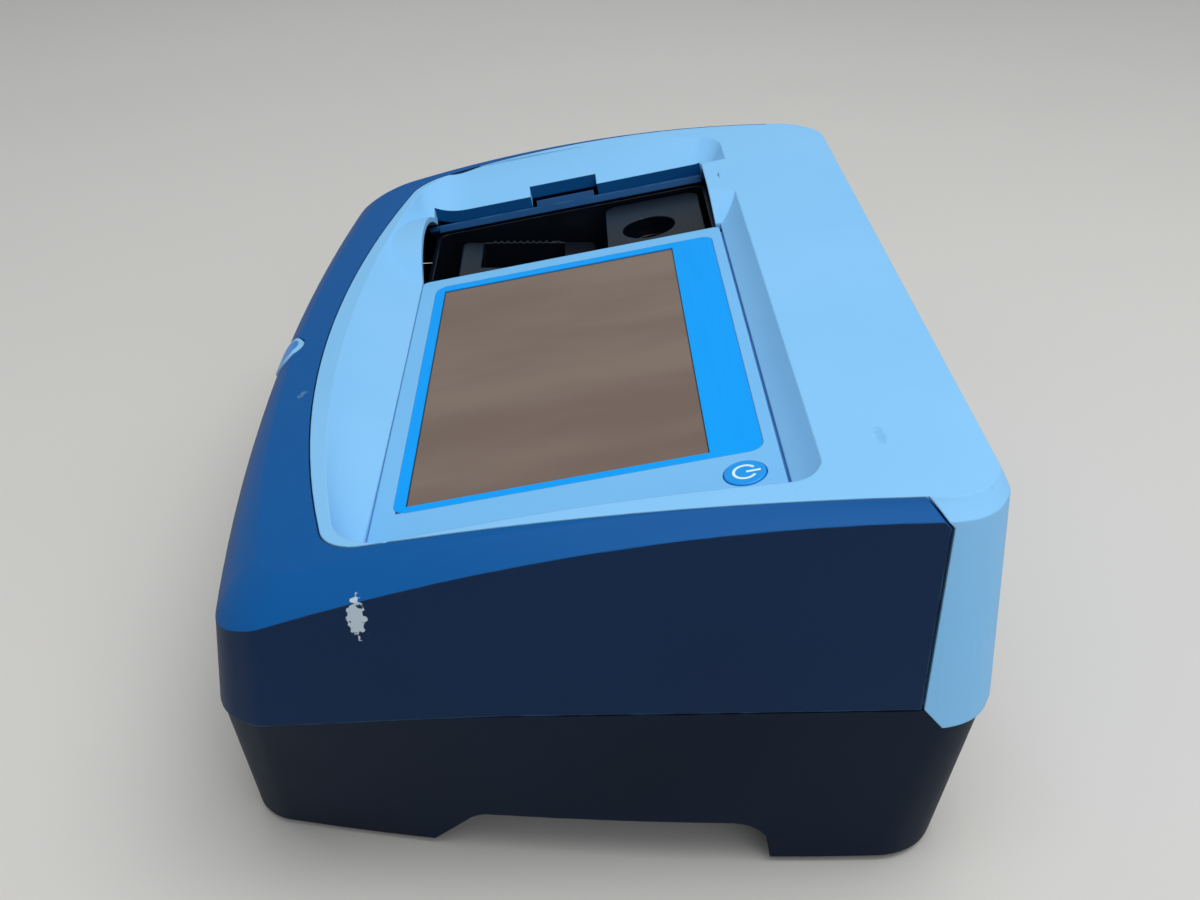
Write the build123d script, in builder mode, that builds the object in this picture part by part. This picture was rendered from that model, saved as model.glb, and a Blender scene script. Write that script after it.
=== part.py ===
from build123d import *
import math
import os

os.makedirs("parts", exist_ok=True)

# Overall sizes in millimetres; origin on the floor under the middle of the instrument, front at -Y
width = 350.0
depth = 255.0
height = 151.0
foot_drop = 3.0
wall = 2.5
half = width / 2
front_y = -depth / 2
back_y = depth / 2

# Clearances between pieces
seam_gap = 0.8
trim_gap = 0.5
shadow_gap = 1.0
slide_gap = 0.35
pin_gap = 0.1

# Seam between the two dark mouldings, lower at the front
seam_z = 77.6
seam_dip = 4.0
seam_bend_y = -15.0

# Upper body: crease on the wall and rim of the light face, both falling towards the front
crease_z = 146.0
crease_y = 101.0
crease_fall = 9.0
crease_inset = 1.5
front_lean = 3.0
back_lean = 6.0
rim_y = 105.0
rim_fall = 7.6
rim_half = 168.4
rim_front_y = -102.8
column_y = 101.2
column_foot_z = 70.0
prism_z = 95.0
mitre = 6.5
ledge_w, ledge_deep = 4.0, 10.0

# Sloping panel
panel_tilt = 11.4
panel_y = -10.5
panel_z = 126.0
glass_x = 36.0
glass_w, glass_h = 165.6, 99.5
frame_left, frame_right = -51.8, 122.2
frame_front, frame_back = -53.8, 66.8
plate_left, plate_right = -59.9, 147.0
plate_front, plate_back = -60.5, 71.2
plate_t = 3.0
floor_t = 5.4
overlay_t = 0.5
glass_t = 1.8
key_x, key_s, key_r = 134.0, 59.2, 6.6
key_travel = 0.8

# Blank round badge on the bulge of the front
badge_y, badge_z, badge_r = -119.5, 109.5, 8.8
badge_sunk, badge_proud = 1.2, 0.6

# Barrel over the cell compartment and the shutter that turns under it
barrel_x = -98.0
barrel_r = 68.0
barrel_top = 11.3
opening_near, opening_far = -60.5, -138.0
opening_front, opening_back = -61.0, 70.0
notch_front, notch_back, notch_depth = -13.7, 19.2, 6.8
shutter_t = 2.5
shutter_r = barrel_r - wall - 0.7
shutter_span = 72.5
shutter_lead = -33.8
shutter_reach = 4.5
arm_t = 2.2
pin_r = 2.5
hub_r = 8.0
axis_n = barrel_top - barrel_r

# Cell compartment
tray_wall = 2.0
tray_near, tray_far = -62.0, -134.0
tray_front, tray_back = -62.0, 71.0
tray_top, tray_deep = -7.2, -60.0
carrier_top = 108.0
well_x, well_s, well_r = -94.0, 41.0, 12.2
gear_module = 1.0
rotor_teeth, rotor_pinion_teeth = 28, 11
rotor_shaft_r, rotor_motor_shaft_r = 3.0, 1.5

# Optical bench
bench_z, bench_t, rim_h = 58.0, 5.0, 4.0
bench_left, bench_right, bench_front, bench_back = -47.0, 119.0, -66.0, 68.0
deck = bench_z + bench_t
beam_y, beam_z = -28.0, 84.0
table_x, table_y = -12.0, 24.0
table_teeth, table_pinion_teeth = 44, 12
lamp_x, lamp_y = 92.0, 44.0
wheel_r, wheel_ring, wheel_shaft_r = 18.0, 12.0, 1.3
table_shaft_r, table_motor_shaft_r = 3.0, 2.0

# Rear connectors
port_y = 117.0
port_left, port_right = -66.0, 92.0
port_low, port_high = 14.0, 54.0

# Tub
tub_wall = 2.8
tub_foot_half = 166.0
tub_foot_front, tub_foot_back = -125.0, 121.0
grip_front, grip_back, grip_top, grip_deep = -57.0, 61.0, 21.5, 24.0
tub_floor = 3.0
door_x, door_y, door_w, door_h = 84.0, 37.0, 47.0, 37.0


def outline(hw, y_front, y_back, front_r, side_r, side_y, r_front, r_back):
    """Plan outline as eight point lists with tangent ends: front, corner, side, corner, back and mirrored."""
    cf = (0.0, y_front + front_r)
    cs = (hw - side_r, side_y)
    a, b = front_r - r_front, side_r - r_front
    dx, dy = cs[0] - cf[0], cs[1] - cf[1]
    d = math.hypot(dx, dy)
    along = (a * a - b * b + d * d) / (2 * d)
    off = math.sqrt(max(a * a - along * along, 0.0))
    options = []
    for sign in (-1, 1):
        options.append((cf[0] + along * dx / d - sign * off * dy / d,
                        cf[1] + along * dy / d + sign * off * dx / d))
    cc = max(options, key=lambda p: p[0] - p[1])
    f_end = math.atan2(cc[1] - cf[1], cc[0] - cf[0])
    s_start = math.atan2(cc[1] - cs[1], cc[0] - cs[0])
    by = y_back - r_back
    bx = cs[0] + math.sqrt((side_r - r_back) ** 2 - (by - side_y) ** 2)
    s_end = math.atan2(by - side_y, bx - cs[0])

    def arc(c, r, a0, a1, n):
        return [(c[0] + r * math.cos(a0 + (a1 - a0) * i / n), c[1] + r * math.sin(a0 + (a1 - a0) * i / n))
                for i in range(n + 1)]

    front = arc(cf, front_r, -math.pi - f_end, f_end, 8)
    corner = arc(cc, r_front, f_end, s_start, 4)
    side = arc(cs, side_r, s_start, s_end, 6)
    rear = arc((bx, by), r_back, s_end, math.pi / 2, 4)
    back = [(bx - 2 * bx * i / 2, y_back) for i in range(3)]

    def flip(pts):
        return [(-x, y) for x, y in reversed(pts)]

    return [front, corner, side, rear, back, flip(rear), flip(side), flip(corner)]


def turn(p, q, r):
    """Direction at p of the circle through three points, towards q."""
    ax, ay = q[0] - p[0], q[1] - p[1]
    bx, by = r[0] - p[0], r[1] - p[1]
    la, lb = math.hypot(ax, ay), math.hypot(bx, by)
    ux, uy = ax / la, ay / la
    vx, vy = bx / lb, by / lb
    cross = vx * uy - vy * ux
    angle = math.asin(max(-1.0, min(1.0, cross))) * la / max(math.hypot(r[0] - q[0], r[1] - q[1]), 1e-9)
    c, s = math.cos(angle), math.sin(angle)
    return (ux * c - uy * s, ux * s + uy * c)


def loop(z_of, *sizes):
    """Closed wire through the outline, lifted to z_of(x, y), smooth where the runs meet."""
    runs = outline(*sizes)
    ends = []
    for i, run in enumerate(runs):
        before = runs[i - 1]
        out = turn(run[0], run[1], run[2])
        back = turn(before[-1], before[-2], before[-3])
        tx, ty = (out[0] - back[0]) / 2, (out[1] - back[1]) / 2
        if len(run) == 3 or len(before) == 3:
            tx, ty = (-1.0, 0.0)
        d = math.hypot(tx, ty)
        tx, ty = tx / d, ty / d
        x, y = run[0]
        rise = (z_of(x + 0.01 * tx, y + 0.01 * ty) - z_of(x - 0.01 * tx, y - 0.01 * ty)) / 0.02
        ends.append(Vector(tx, ty, rise).normalized())
    return Wire([Spline(*[(x, y, z_of(x, y)) for x, y in run], tangents=(ends[i], ends[(i + 1) % len(runs)]))
                 for i, run in enumerate(runs)])


def closed(*strips):
    """Solid from strips of loops, ruled where a strip has two of them, with flat ends."""
    faces = [Face(strips[0][0]), Face(strips[-1][-1])]
    for strip in strips:
        faces += Shell.make_loft(strip, ruled=len(strip) == 2).faces()
    return Solid(Shell(faces))


def crease_at(y):
    return crease_z - crease_fall * ((crease_y - min(y, crease_y)) / 100) ** 2


def rim_at(y):
    return height - rim_fall * ((rim_y - min(y, rim_y)) / 100) ** 2


def side_profile(points):
    """Prism across the whole width from a closed outline of (y, z) points."""
    with BuildPart() as prism:
        with BuildSketch(Plane.YZ):
            with BuildLine():
                Polyline(*points, close=True)
            make_face()
        extrude(amount=half + 40, both=True)
    return prism.part


def above_top(t):
    """Everything over the top surface, lowered by t."""
    with BuildPart() as prism:
        with BuildSketch(Plane.YZ):
            with BuildLine():
                run = [(y, rim_at(y) - t) for y in (-150, -110, -70, -30, 10, 50, 80, rim_y)]
                curve = Spline(*run, tangents=((1, 2 * rim_fall * (rim_y + 150) / 1e4), (1, 0)))
                Polyline(curve @ 1, (back_y + 40, height - t), (back_y + 40, height + 60), (-150, height + 60),
                         curve @ 0)
            make_face()
        extrude(amount=half + 40, both=True)
    return prism.part


def envelope(t, z_low):
    """Outer body of the upper half moved inwards by t, from z_low up to the top surface."""
    low = (half + 0.4 - t, front_y - 1.4 + t, back_y + 0.8 - t, 1091.0, 20000.0, 0.0, 19.5, 22.0)
    edge = (half - crease_inset - t, front_y + front_lean + t, back_y - back_lean - t, 1091.0, 20000.0, 0.0,
            19.0, 21.5)
    soft = (half - crease_inset - 3.2 - t, front_y + front_lean + 5.0 + t, back_y - back_lean - 1.2 - t,
            900.0, 4200.0, 95.0, 18.5, 20.5)
    rim = (rim_half - 0.6 - t, rim_front_y + 2.5 + t, back_y - back_lean - 3.4 - t, 531.0, 1240.0, 95.0, 17.5, 19.5)
    lower = loop(lambda x, y: z_low, *low)
    crease = loop(lambda x, y: crease_at(y) - t, *edge)
    middle = loop(lambda x, y: (crease_at(y) + rim_at(y)) / 2 + 2.4 * ((crease_y - min(y, crease_y)) / 221) ** 2 - t,
                  *soft)
    upper = loop(lambda x, y: rim_at(y) + 0.7 - t, *rim)
    lid = loop(lambda x, y: height + 20, *rim)
    return closed([lower, crease], [crease, middle, upper], [upper, lid]) - above_top(t)


def rim_prism(inset):
    sizes = (rim_half - inset, rim_front_y + inset, back_y + 60, 531.0, 1240.0, 95.0, 18.0, 20.0)
    return closed([loop(lambda x, y: prism_z, *sizes), loop(lambda x, y: height + 30, *sizes)])


def back_zone(grow):
    """Side view of what belongs to the light moulding behind the dark sides, with the two mitres."""
    y = column_y - grow
    z = column_foot_z - grow
    rise = height + 30 - crease_z + 2
    return side_profile([(y - rise, height + 30), (y, crease_z - 2), (y, seam_z), (y + mitre, z),
                         (back_y + 30, z), (back_y + 30, height + 30)])


def dark_zone():
    """What the light moulding leaves to the dark sides and front."""
    rise = height + 30 - crease_z + 2
    front = side_profile([(column_y - rise, height + 30), (column_y, crease_z - 2), (column_y, seam_z),
                          (column_y + mitre, column_foot_z), (back_y + 30, column_foot_z), (back_y + 30, 0),
                          (front_y - 30, 0), (front_y - 30, height + 30)])
    return front - rim_prism(0.5 + trim_gap)


def panel_at(x, s, n):
    c, k = math.cos(math.radians(panel_tilt)), math.sin(math.radians(panel_tilt))
    return (x, panel_y + s * c - n * k, panel_z + s * k + n * c)


up_slope = (0, math.cos(math.radians(panel_tilt)), math.sin(math.radians(panel_tilt)))
normal = (0, -math.sin(math.radians(panel_tilt)), math.cos(math.radians(panel_tilt)))


def on_panel(n=0.0):
    return Plane(origin=panel_at(0, 0, n), x_dir=(1, 0, 0), z_dir=normal)


def across(s):
    """Plane square to the slope: local x is the width, local y the height over the panel."""
    return Plane(origin=panel_at(0, s, 0), x_dir=(1, 0, 0), z_dir=tuple(-v for v in up_slope))


def scoop(grow, drop):
    """Dished recess of the face: concave walls from the panel up to the rim."""
    def section(n, left, right, front, back, bow, r):
        sizes = ((right - left) / 2 + grow, front - grow, back + grow, bow, 6000.0, 0.0, r + grow, r / 2 + grow)
        wire = loop(lambda x, y: n, *sizes)
        return wire.moved(on_panel().location * Location(((left + right) / 2, 0, -drop)))

    low = section(0.0, -134.0, 148.5, -60.5, 71.9, 4000.0, 12.0)
    mid = section(5.0, -147.0, 155.0, -73.5, 78.5, 1000.0, 22.0)
    high = section(14.0, -159.0, 158.0, -86.0, 86.5, 545.0, 24.0)
    over = section(60.0, -159.0, 158.0, -86.0, 86.5, 545.0, 24.0)
    return closed([low, mid, high], [high, over])


def barrel(r, s0, s1):
    with BuildPart() as drum:
        with BuildSketch(across(s0)):
            with Locations((barrel_x, barrel_top - barrel_r)):
                Circle(r)
        extrude(amount=-(s1 - s0))
    return drum.part


def slab(x0, x1, s0, s1, n0, n1, r=0.0):
    """Plate or cut on the panel between two heights."""
    with BuildPart() as body:
        with BuildSketch(on_panel(n0)):
            with Locations(((x0 + x1) / 2, (s0 + s1) / 2)):
                if r > 0:
                    RectangleRounded(x1 - x0, s1 - s0, r)
                else:
                    Rectangle(x1 - x0, s1 - s0)
        extrude(amount=n1 - n0)
    return body.part


def seam_cut(z_shift, up):
    """Region over or under the seam line in side view."""
    lift = 60 if up else -60
    drop = seam_z - seam_dip + z_shift
    with BuildPart() as prism:
        with BuildSketch(Plane.YZ):
            with BuildLine():
                flat = Line((back_y + 30, seam_z + z_shift), (seam_bend_y, seam_z + z_shift))
                bend = Spline((seam_bend_y, seam_z + z_shift), (front_y + 20, drop + 0.6), (front_y - 20, drop),
                              tangents=((-1, 0), (-1, 0)))
                Polyline(bend @ 1, (front_y - 20, seam_z + lift), (back_y + 30, seam_z + lift), flat @ 0)
            make_face()
        extrude(amount=half + 40, both=True)
    return prism.part


def tub_body(t, z_low):
    """Tapered lower body moved inwards by t, from z_low to above the seam."""
    z_high = seam_z + 3
    foot = (tub_foot_half - t, tub_foot_front + t, tub_foot_back - t, 1300.0, 900.0, 85.0, 18.0, 24.0)
    brim = (half + 0.2 - t, front_y - 0.3 + t, back_y + 0.4 - t, 1091.0, 20000.0, 0.0, 19.5, 22.0)
    k = (z_high - z_low) / (z_high - foot_drop)
    mixed = tuple(b + (f - b) * k for f, b in zip(foot[:3], brim[:3])) + foot[3:]
    return closed([loop(lambda x, y: z_low, *mixed), loop(lambda x, y: z_high, *brim)])


def grip_cut(grow):
    """Hand recesses in the bottom edge of both sides."""
    x = tub_foot_half - grip_deep - 4 - grow
    both = []
    for side in (-1, 1):
        with BuildPart() as pocket:
            with BuildSketch(Plane.YZ.offset(side * x)) as s:
                with BuildLine():
                    Polyline((grip_front - grow, -1), (grip_front + 19 - grow, grip_top + grow),
                             (grip_back - 2 + grow, grip_top + grow), (grip_back + grow, -1), close=True)
                make_face()
                upper = s.vertices().sort_by(Axis.Y)[-2:].sort_by(Axis.X)
                fillet(upper[0], radius=9 + grow)
                fillet(s.vertices().sort_by(Axis.Y)[-1], radius=14 + grow)
            extrude(amount=side * 80)
        both.append(pocket.part)
    return both


def arc_sector(r0, r1, a0, a1, s0, s1):
    """Piece of a ring round the shutter axis; angles in degrees from the panel normal towards +X."""
    def at(r, a):
        return (barrel_x + r * math.sin(math.radians(a)), axis_n + r * math.cos(math.radians(a)))

    mid = (a0 + a1) / 2
    with BuildPart() as ring:
        with BuildSketch(across(s0)):
            with BuildLine():
                o = ThreePointArc(at(r1, a0), at(r1, mid), at(r1, a1))
                i = ThreePointArc(at(r0, a1), at(r0, mid), at(r0, a0))
                Line(o @ 1, i @ 0)
                Line(i @ 1, o @ 0)
            make_face()
        extrude(amount=-(s1 - s0))
    return ring.part


def rod(x, s, n, r, length):
    """Cylinder along the slope, from s to s + length."""
    with BuildPart() as pin:
        with BuildSketch(across(s)):
            with Locations((x, n)):
                Circle(r)
        extrude(amount=-length)
    return pin.part


def stud(x, s, n0, n1, r):
    """Cylinder square to the panel."""
    with BuildPart() as pin:
        with BuildSketch(on_panel(n0)):
            with Locations((x, s)):
                Circle(r)
        extrude(amount=n1 - n0)
    return pin.part


def gear_points(teeth, module, phase=0.0):
    """Closed outline of a straight-flanked gear."""
    r = module * teeth / 2
    out = []
    for i in range(teeth):
        for part, rad in ((-0.335, r - 1.15 * module), (-0.145, r + 0.85 * module),
                          (0.145, r + 0.85 * module), (0.335, r - 1.15 * module)):
            a = 2 * math.pi * (i + phase + part) / teeth
            out.append((rad * math.cos(a), rad * math.sin(a)))
    return out


def gear(teeth, module, thickness, bore, plane, phase=0.0):
    with BuildPart() as wheel:
        with BuildSketch(plane):
            with BuildLine():
                Polyline(*gear_points(teeth, module, phase), close=True)
            make_face()
            if bore:
                Circle(bore, mode=Mode.SUBTRACT)
        extrude(amount=thickness)
    return wheel.part


def block(x0, x1, y0, y1, z0, z1):
    with BuildPart() as body:
        with Locations(((x0 + x1) / 2, (y0 + y1) / 2, (z0 + z1) / 2)):
            Box(x1 - x0, y1 - y0, z1 - z0)
    return body.part


def keep(builder, name):
    part = builder.part
    part.label = name
    export_step(part, "parts/" + name + ".step")
    faces = len(part.faces())
    print(name, part.is_valid, len(part.solids()), "faces", faces, "volume", round(part.volume))


def puck(r):
    """Round prism through the bulge where the badge sits."""
    with BuildPart() as body:
        with BuildSketch(Plane(origin=(0, badge_y, badge_z), x_dir=(1, 0, 0), z_dir=(0, -0.76, 0.65))):
            Circle(r)
        extrude(amount=6, both=True)
    return body.part


outer = envelope(0.0, 60.0)
inner = envelope(wall, 50.0)

# Upper housing: dark front and sides, open at the back, with a ledge for the light face
with BuildPart() as upper_housing:
    add(outer)
    add(inner, mode=Mode.SUBTRACT)
    add(rim_prism(0.5), mode=Mode.SUBTRACT)
    add(((inner - envelope(wall + 2.0, 50.0)) & (rim_prism(-6.0) - rim_prism(ledge_w)) & above_top(ledge_deep))
        - scoop(2.0 + trim_gap, floor_t + trim_gap))
    add(back_zone(shadow_gap), mode=Mode.SUBTRACT)
    add(seam_cut(0.0, False), mode=Mode.SUBTRACT)
    add(puck(badge_r + 0.5) - envelope(badge_sunk, 60.0), mode=Mode.SUBTRACT)
keep(upper_housing, "upper_housing")

# Face cover: light moulding with the dished face, the barrel, the ridge and the back
with BuildPart() as face_cover:
    add(outer)
    add(scoop(0.0, 0.0) - barrel(barrel_r, -88, 92), mode=Mode.SUBTRACT)
    add(inner - (scoop(2.0, floor_t) - barrel(barrel_r - wall, -88, 92)), mode=Mode.SUBTRACT)
    add(barrel(shutter_r + 0.6, opening_front - 6.5, opening_back + 6.5), mode=Mode.SUBTRACT)
    add(slab(opening_far, opening_near, opening_front, opening_back, -30, 30), mode=Mode.SUBTRACT)
    add(slab(opening_far - notch_depth, opening_far + 5, notch_front, notch_back, -30, 30), mode=Mode.SUBTRACT)
    add(slab(opening_near - 1, plate_right + slide_gap, plate_front - slide_gap, plate_back + 1.0, -plate_t, 6),
        mode=Mode.SUBTRACT)
    add(slab(glass_x - glass_w / 2 - 4.4, glass_x + glass_w / 2 + 4.4, -glass_h / 2 - 4.75, glass_h / 2 + 4.75,
             -floor_t - 12, 6), mode=Mode.SUBTRACT)
    add(stud(key_x, key_s, -floor_t - 10, 0, key_r + 2.4), mode=Mode.SUBTRACT)
    add(dark_zone(), mode=Mode.SUBTRACT)
keep(face_cover, "face_cover")

# Tub: tapered floor shell with hand recesses, connector recess, vents and posts
bosses = [(-40.0, -58.0), (112.0, -58.0), (-40.0, 60.0), (112.0, 60.0)]
feet = {"foot_front_left": (-122.0, -92.0), "foot_front_right": (122.0, -92.0),
        "foot_rear_left": (-136.0, 96.0), "foot_rear_right": (136.0, 96.0)}
foot_r, foot_t = 9.0, 5.0
board_posts = [(-20.0, -40.0), (80.0, -40.0), (-20.0, 10.0), (80.0, 10.0)]
inside_z = foot_drop + tub_floor
with BuildPart() as lower_housing:
    add(tub_body(0.0, foot_drop))
    hollow = tub_body(tub_wall, inside_z)
    for left, grown in zip(grip_cut(0.0), grip_cut(tub_wall)):
        hollow = hollow - grown
    hollow = hollow - block(port_left - 5, port_right + 5, port_y - 2.6, back_y + 10, port_low - 6, port_high + 6)
    add(hollow, mode=Mode.SUBTRACT)
    for left in grip_cut(0.0):
        add(left, mode=Mode.SUBTRACT)
    add(block(port_left - 2, port_right + 2, port_y, back_y + 10, port_low - 3, port_high + 3), mode=Mode.SUBTRACT)
    add(block(port_left + 4, port_right - 4, port_y - 8, port_y + 1, port_low + 2, port_high - 2),
        mode=Mode.SUBTRACT)
    add(seam_cut(0.0, True), mode=Mode.SUBTRACT)
    add(back_zone(0.0), mode=Mode.SUBTRACT)
    add(seam_cut(-seam_gap, True) - tub_body(1.0, 40.0), mode=Mode.SUBTRACT)
    with Locations(*[(x, y, inside_z) for x, y in bosses]):
        Cylinder(5.5, 10, align=(Align.CENTER, Align.CENTER, Align.MIN))
        Cylinder(1.6, 10, align=(Align.CENTER, Align.CENTER, Align.MIN), mode=Mode.SUBTRACT)
    with Locations(*[(x, y, inside_z) for x, y in board_posts]):
        Cylinder(3.2, 5, align=(Align.CENTER, Align.CENTER, Align.MIN))
    with Locations(*[(x, y, 0) for x, y in feet.values()]):
        Cylinder(foot_r + 0.3, foot_t, align=(Align.CENTER, Align.CENTER, Align.MIN), mode=Mode.SUBTRACT)
    with Locations(*[(x, y, foot_t) for x, y in feet.values()]):
        Cylinder(foot_r + 2.5, 3.2, align=(Align.CENTER, Align.CENTER, Align.MIN))
    with Locations(*[(-90 + 9 * i, 20, foot_drop) for i in range(8)]):
        Box(3.2, 44, 20, mode=Mode.SUBTRACT)
    with Locations(*[(106 + 7 * i, back_y - 4, 40) for i in range(5)]):
        Box(3, 30, 30, mode=Mode.SUBTRACT)
    with Locations((door_x, door_y, foot_drop)):
        Box(door_w - 7, door_h - 7, 20, mode=Mode.SUBTRACT)
        Box(door_w + 0.7, door_h + 0.7, 2.4, align=(Align.CENTER, Align.CENTER, Align.MIN), mode=Mode.SUBTRACT)
keep(lower_housing, "lower_housing")

# Door under the lamp, let into the floor of the tub
with BuildPart() as lamp_door:
    with BuildSketch(Plane.XY.offset(foot_drop + 0.2)):
        with Locations((door_x, door_y)):
            RectangleRounded(door_w, door_h, 2)
    extrude(amount=2.2)
    with Locations((door_x + 17, door_y, foot_drop)):
        Cylinder(3.5, 1.2, align=(Align.CENTER, Align.CENTER, Align.MIN), mode=Mode.SUBTRACT)
keep(lamp_door, "lamp_door")

# Rubber feet
for foot_name, (x, y) in feet.items():
    with BuildPart() as foot:
        with Locations((x, y, 0)):
            Cylinder(foot_r, foot_t, align=(Align.CENTER, Align.CENTER, Align.MIN))
        fillet(foot.edges().sort_by(Axis.Z)[0], radius=1.0)
    keep(foot, foot_name)

# Flat plate round the display, with its window, the frame pocket and the key hole
with BuildPart() as screen_plate:
    add(slab(plate_left, plate_right, plate_front, plate_back, -plate_t, 0.0, 2.5))
    add(slab(frame_left - 0.15, frame_right + 0.15, frame_front - 0.15, frame_back + 0.15, -overlay_t - 0.05, 1,
             5.15), mode=Mode.SUBTRACT)
    add(slab(glass_x - glass_w / 2 - 3.2, glass_x + glass_w / 2 + 3.2, -glass_h / 2 - 3.2, glass_h / 2 + 3.2,
             -8, 1), mode=Mode.SUBTRACT)
    add(stud(key_x, key_s, -6, 1, key_r + slide_gap), mode=Mode.SUBTRACT)
keep(screen_plate, "screen_plate")

# Coloured foil frame, flush in its pocket
with BuildPart() as overlay_frame:
    add(slab(frame_left, frame_right, frame_front, frame_back, -overlay_t - 0.05, -0.05, 5.0))
    add(slab(glass_x - glass_w / 2, glass_x + glass_w / 2, -glass_h / 2, glass_h / 2, -2, 1), mode=Mode.SUBTRACT)
keep(overlay_frame, "overlay_frame")

with BuildPart() as touch_glass:
    add(slab(glass_x - glass_w / 2 - 3, glass_x + glass_w / 2 + 3, -glass_h / 2 - 3, glass_h / 2 + 3,
             -overlay_t - 0.05 - glass_t, -overlay_t - 0.05, 1.5))
keep(touch_glass, "touch_glass")

glass_low = -overlay_t - 0.05 - glass_t
with BuildPart() as display_module:
    add(slab(glass_x - glass_w / 2 - 2, glass_x + glass_w / 2 + 2, -glass_h / 2 - 2, glass_h / 2 + 2,
             glass_low - 6.0, glass_low))
keep(display_module, "display_module")

# Folded sheet tray that holds the display from behind
tray_n = glass_low - 6.0
with BuildPart() as display_bracket:
    x0, x1 = glass_x - glass_w / 2 - 4, glass_x + glass_w / 2 + 4
    s0, s1 = -glass_h / 2 - 8.4, glass_h / 2 + 8.4
    add(slab(x0, x1, s0 + 4, s1 - 4, tray_n - 1.2, tray_n))
    add(slab(x0 + 10, x1 - 10, s0 - 6, s0 + 5.2, -floor_t - 1.2, -floor_t))
    add(slab(x0 + 10, x1 - 10, s1 - 5.2, s1 + 6, -floor_t - 1.2, -floor_t))
    add(slab(x0 + 10, x1 - 10, s0 + 4, s0 + 5.2, tray_n - 1.2, -floor_t))
    add(slab(x0 + 10, x1 - 10, s1 - 5.2, s1 - 4, tray_n - 1.2, -floor_t))
    add(slab(glass_x - 30, glass_x + 30, -20, 20, tray_n - 4, tray_n + 1, 4), mode=Mode.SUBTRACT)
    for x in (glass_x - 62, glass_x + 62):
        for s in (-34, 34):
            add(stud(x, s, tray_n - 6.2, tray_n - 1.2, 2.8))
keep(display_bracket, "display_bracket")

with BuildPart() as main_board:
    add(slab(glass_x - 70, glass_x + 70, -42, 42, tray_n - 7.8, tray_n - 6.2, 2))
    add(slab(glass_x - 18, glass_x + 18, -18, 18, tray_n - 10.8, tray_n - 7.8, 1))
    add(slab(glass_x + 34, glass_x + 58, -26, 10, tray_n - 12.8, tray_n - 7.8))
    add(slab(glass_x - 60, glass_x - 34, 8, 30, tray_n - 10.2, tray_n - 7.8))
keep(main_board, "main_board")

# Power key with its flange and stem, and the small board with the switch under it
with BuildPart() as power_key:
    add(stud(key_x, key_s, -plate_t - 0.3, 0.5, key_r))
    add(stud(key_x, key_s, -plate_t - 1.9, -plate_t - 0.3, key_r + 1.6))
    add(stud(key_x, key_s, -plate_t - 4.2, -plate_t - 1.9, 2.0))
    top_ring = power_key.edges().filter_by(GeomType.CIRCLE).sort_by(Axis.Z)[-1]
    fillet(top_ring, radius=0.5)
keep(power_key, "power_key")

with BuildPart() as key_board:
    add(slab(key_x - 10, key_x + 13, key_s - 11, key_s + 11, -12.6, -11.0, 1.5))
    add(slab(key_x - 3, key_x + 3, key_s - 3, key_s + 3, -11.0, -8.6))
    for dx in (-8, 11):
        add(stud(key_x + dx, key_s - 9, -11.0, -floor_t, 1.5))
keep(key_board, "key_board")

# Round badge on the bulge of the front
with BuildPart() as badge:
    add(puck(badge_r) & (envelope(-badge_proud, 60.0) - envelope(badge_sunk, 60.0)))
keep(badge, "badge")

# Shutter over the compartment: curved shell, grip tab, two end arms on a common axis
lead, trail = shutter_lead, shutter_lead - shutter_span
s_front, s_back = opening_front - shutter_reach, opening_back + shutter_reach
with BuildPart() as shutter_shell:
    add(arc_sector(shutter_r - shutter_t, shutter_r, lead, trail, s_front, s_back))
    add(arc_sector(shutter_r - shutter_t - 1.2, shutter_r - 0.5, lead + 0.6, lead - 1.6, s_front + 5, s_back - 5))
    add(arc_sector(shutter_r - 0.5, barrel_r + 0.8, lead - 3.4, lead - 8.2, notch_front + 2.2, notch_back - 2.2))
keep(shutter_shell, "shutter_shell")

mid_angle = (lead + trail) / 2
for arm_name, s0 in (("shutter_arm_front", s_front), ("shutter_arm_rear", s_back - arm_t)):
    with BuildPart() as arm:
        with BuildSketch(across(s0)):
            rim_r = shutter_r - shutter_t
            pts = []
            for a in range(-24, 25, 8):
                rad = math.radians(mid_angle + a)
                pts.append((barrel_x + rim_r * math.sin(rad), axis_n + rim_r * math.cos(rad)))
            with BuildLine():
                top = ThreePointArc(pts[0], pts[3], pts[-1])
                c, s = math.cos(math.radians(mid_angle)), math.sin(math.radians(mid_angle))
                p0 = (barrel_x - c * 6.5, axis_n + s * 6.5)
                p1 = (barrel_x + c * 6.5, axis_n - s * 6.5)
                Line(top @ 1, p1)
                Line(p1, p0)
                Line(p0, top @ 0)
            make_face()
            with Locations((barrel_x, axis_n)):
                Circle(hub_r)
                Circle(pin_r + pin_gap, mode=Mode.SUBTRACT)
        extrude(amount=-arm_t)
    keep(arm, arm_name)

pin_s = {"pivot_pin_front": s_front - 9.0, "pivot_pin_rear": s_back - arm_t - 0.6}
for pin_name, s0 in pin_s.items():
    with BuildPart() as pin:
        add(rod(barrel_x, s0, axis_n, pin_r, arm_t + 9.6))
    keep(pin, pin_name)

for bracket_name, s0 in (("pivot_bracket_front", s_front - 8.0), ("pivot_bracket_rear", s_back + 1.2)):
    cx, cy, cz = panel_at(barrel_x, s0 + 3.0, axis_n)
    with BuildPart() as bracket:
        with BuildSketch(Plane(origin=(barrel_x, cy, cz), x_dir=(1, 0, 0), z_dir=tuple(-v for v in up_slope))):
            Circle(10)
            Circle(pin_r, mode=Mode.SUBTRACT)
        extrude(amount=3.2, both=True)
        with Locations((barrel_x, cy, (inside_z + cz - 6) / 2)):
            Box(18, 4.6, cz - 6 - inside_z)
        with Locations((barrel_x, cy, inside_z)):
            Box(34, 16, 3, align=(Align.CENTER, Align.CENTER, Align.MIN))
    keep(bracket, bracket_name)

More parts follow.
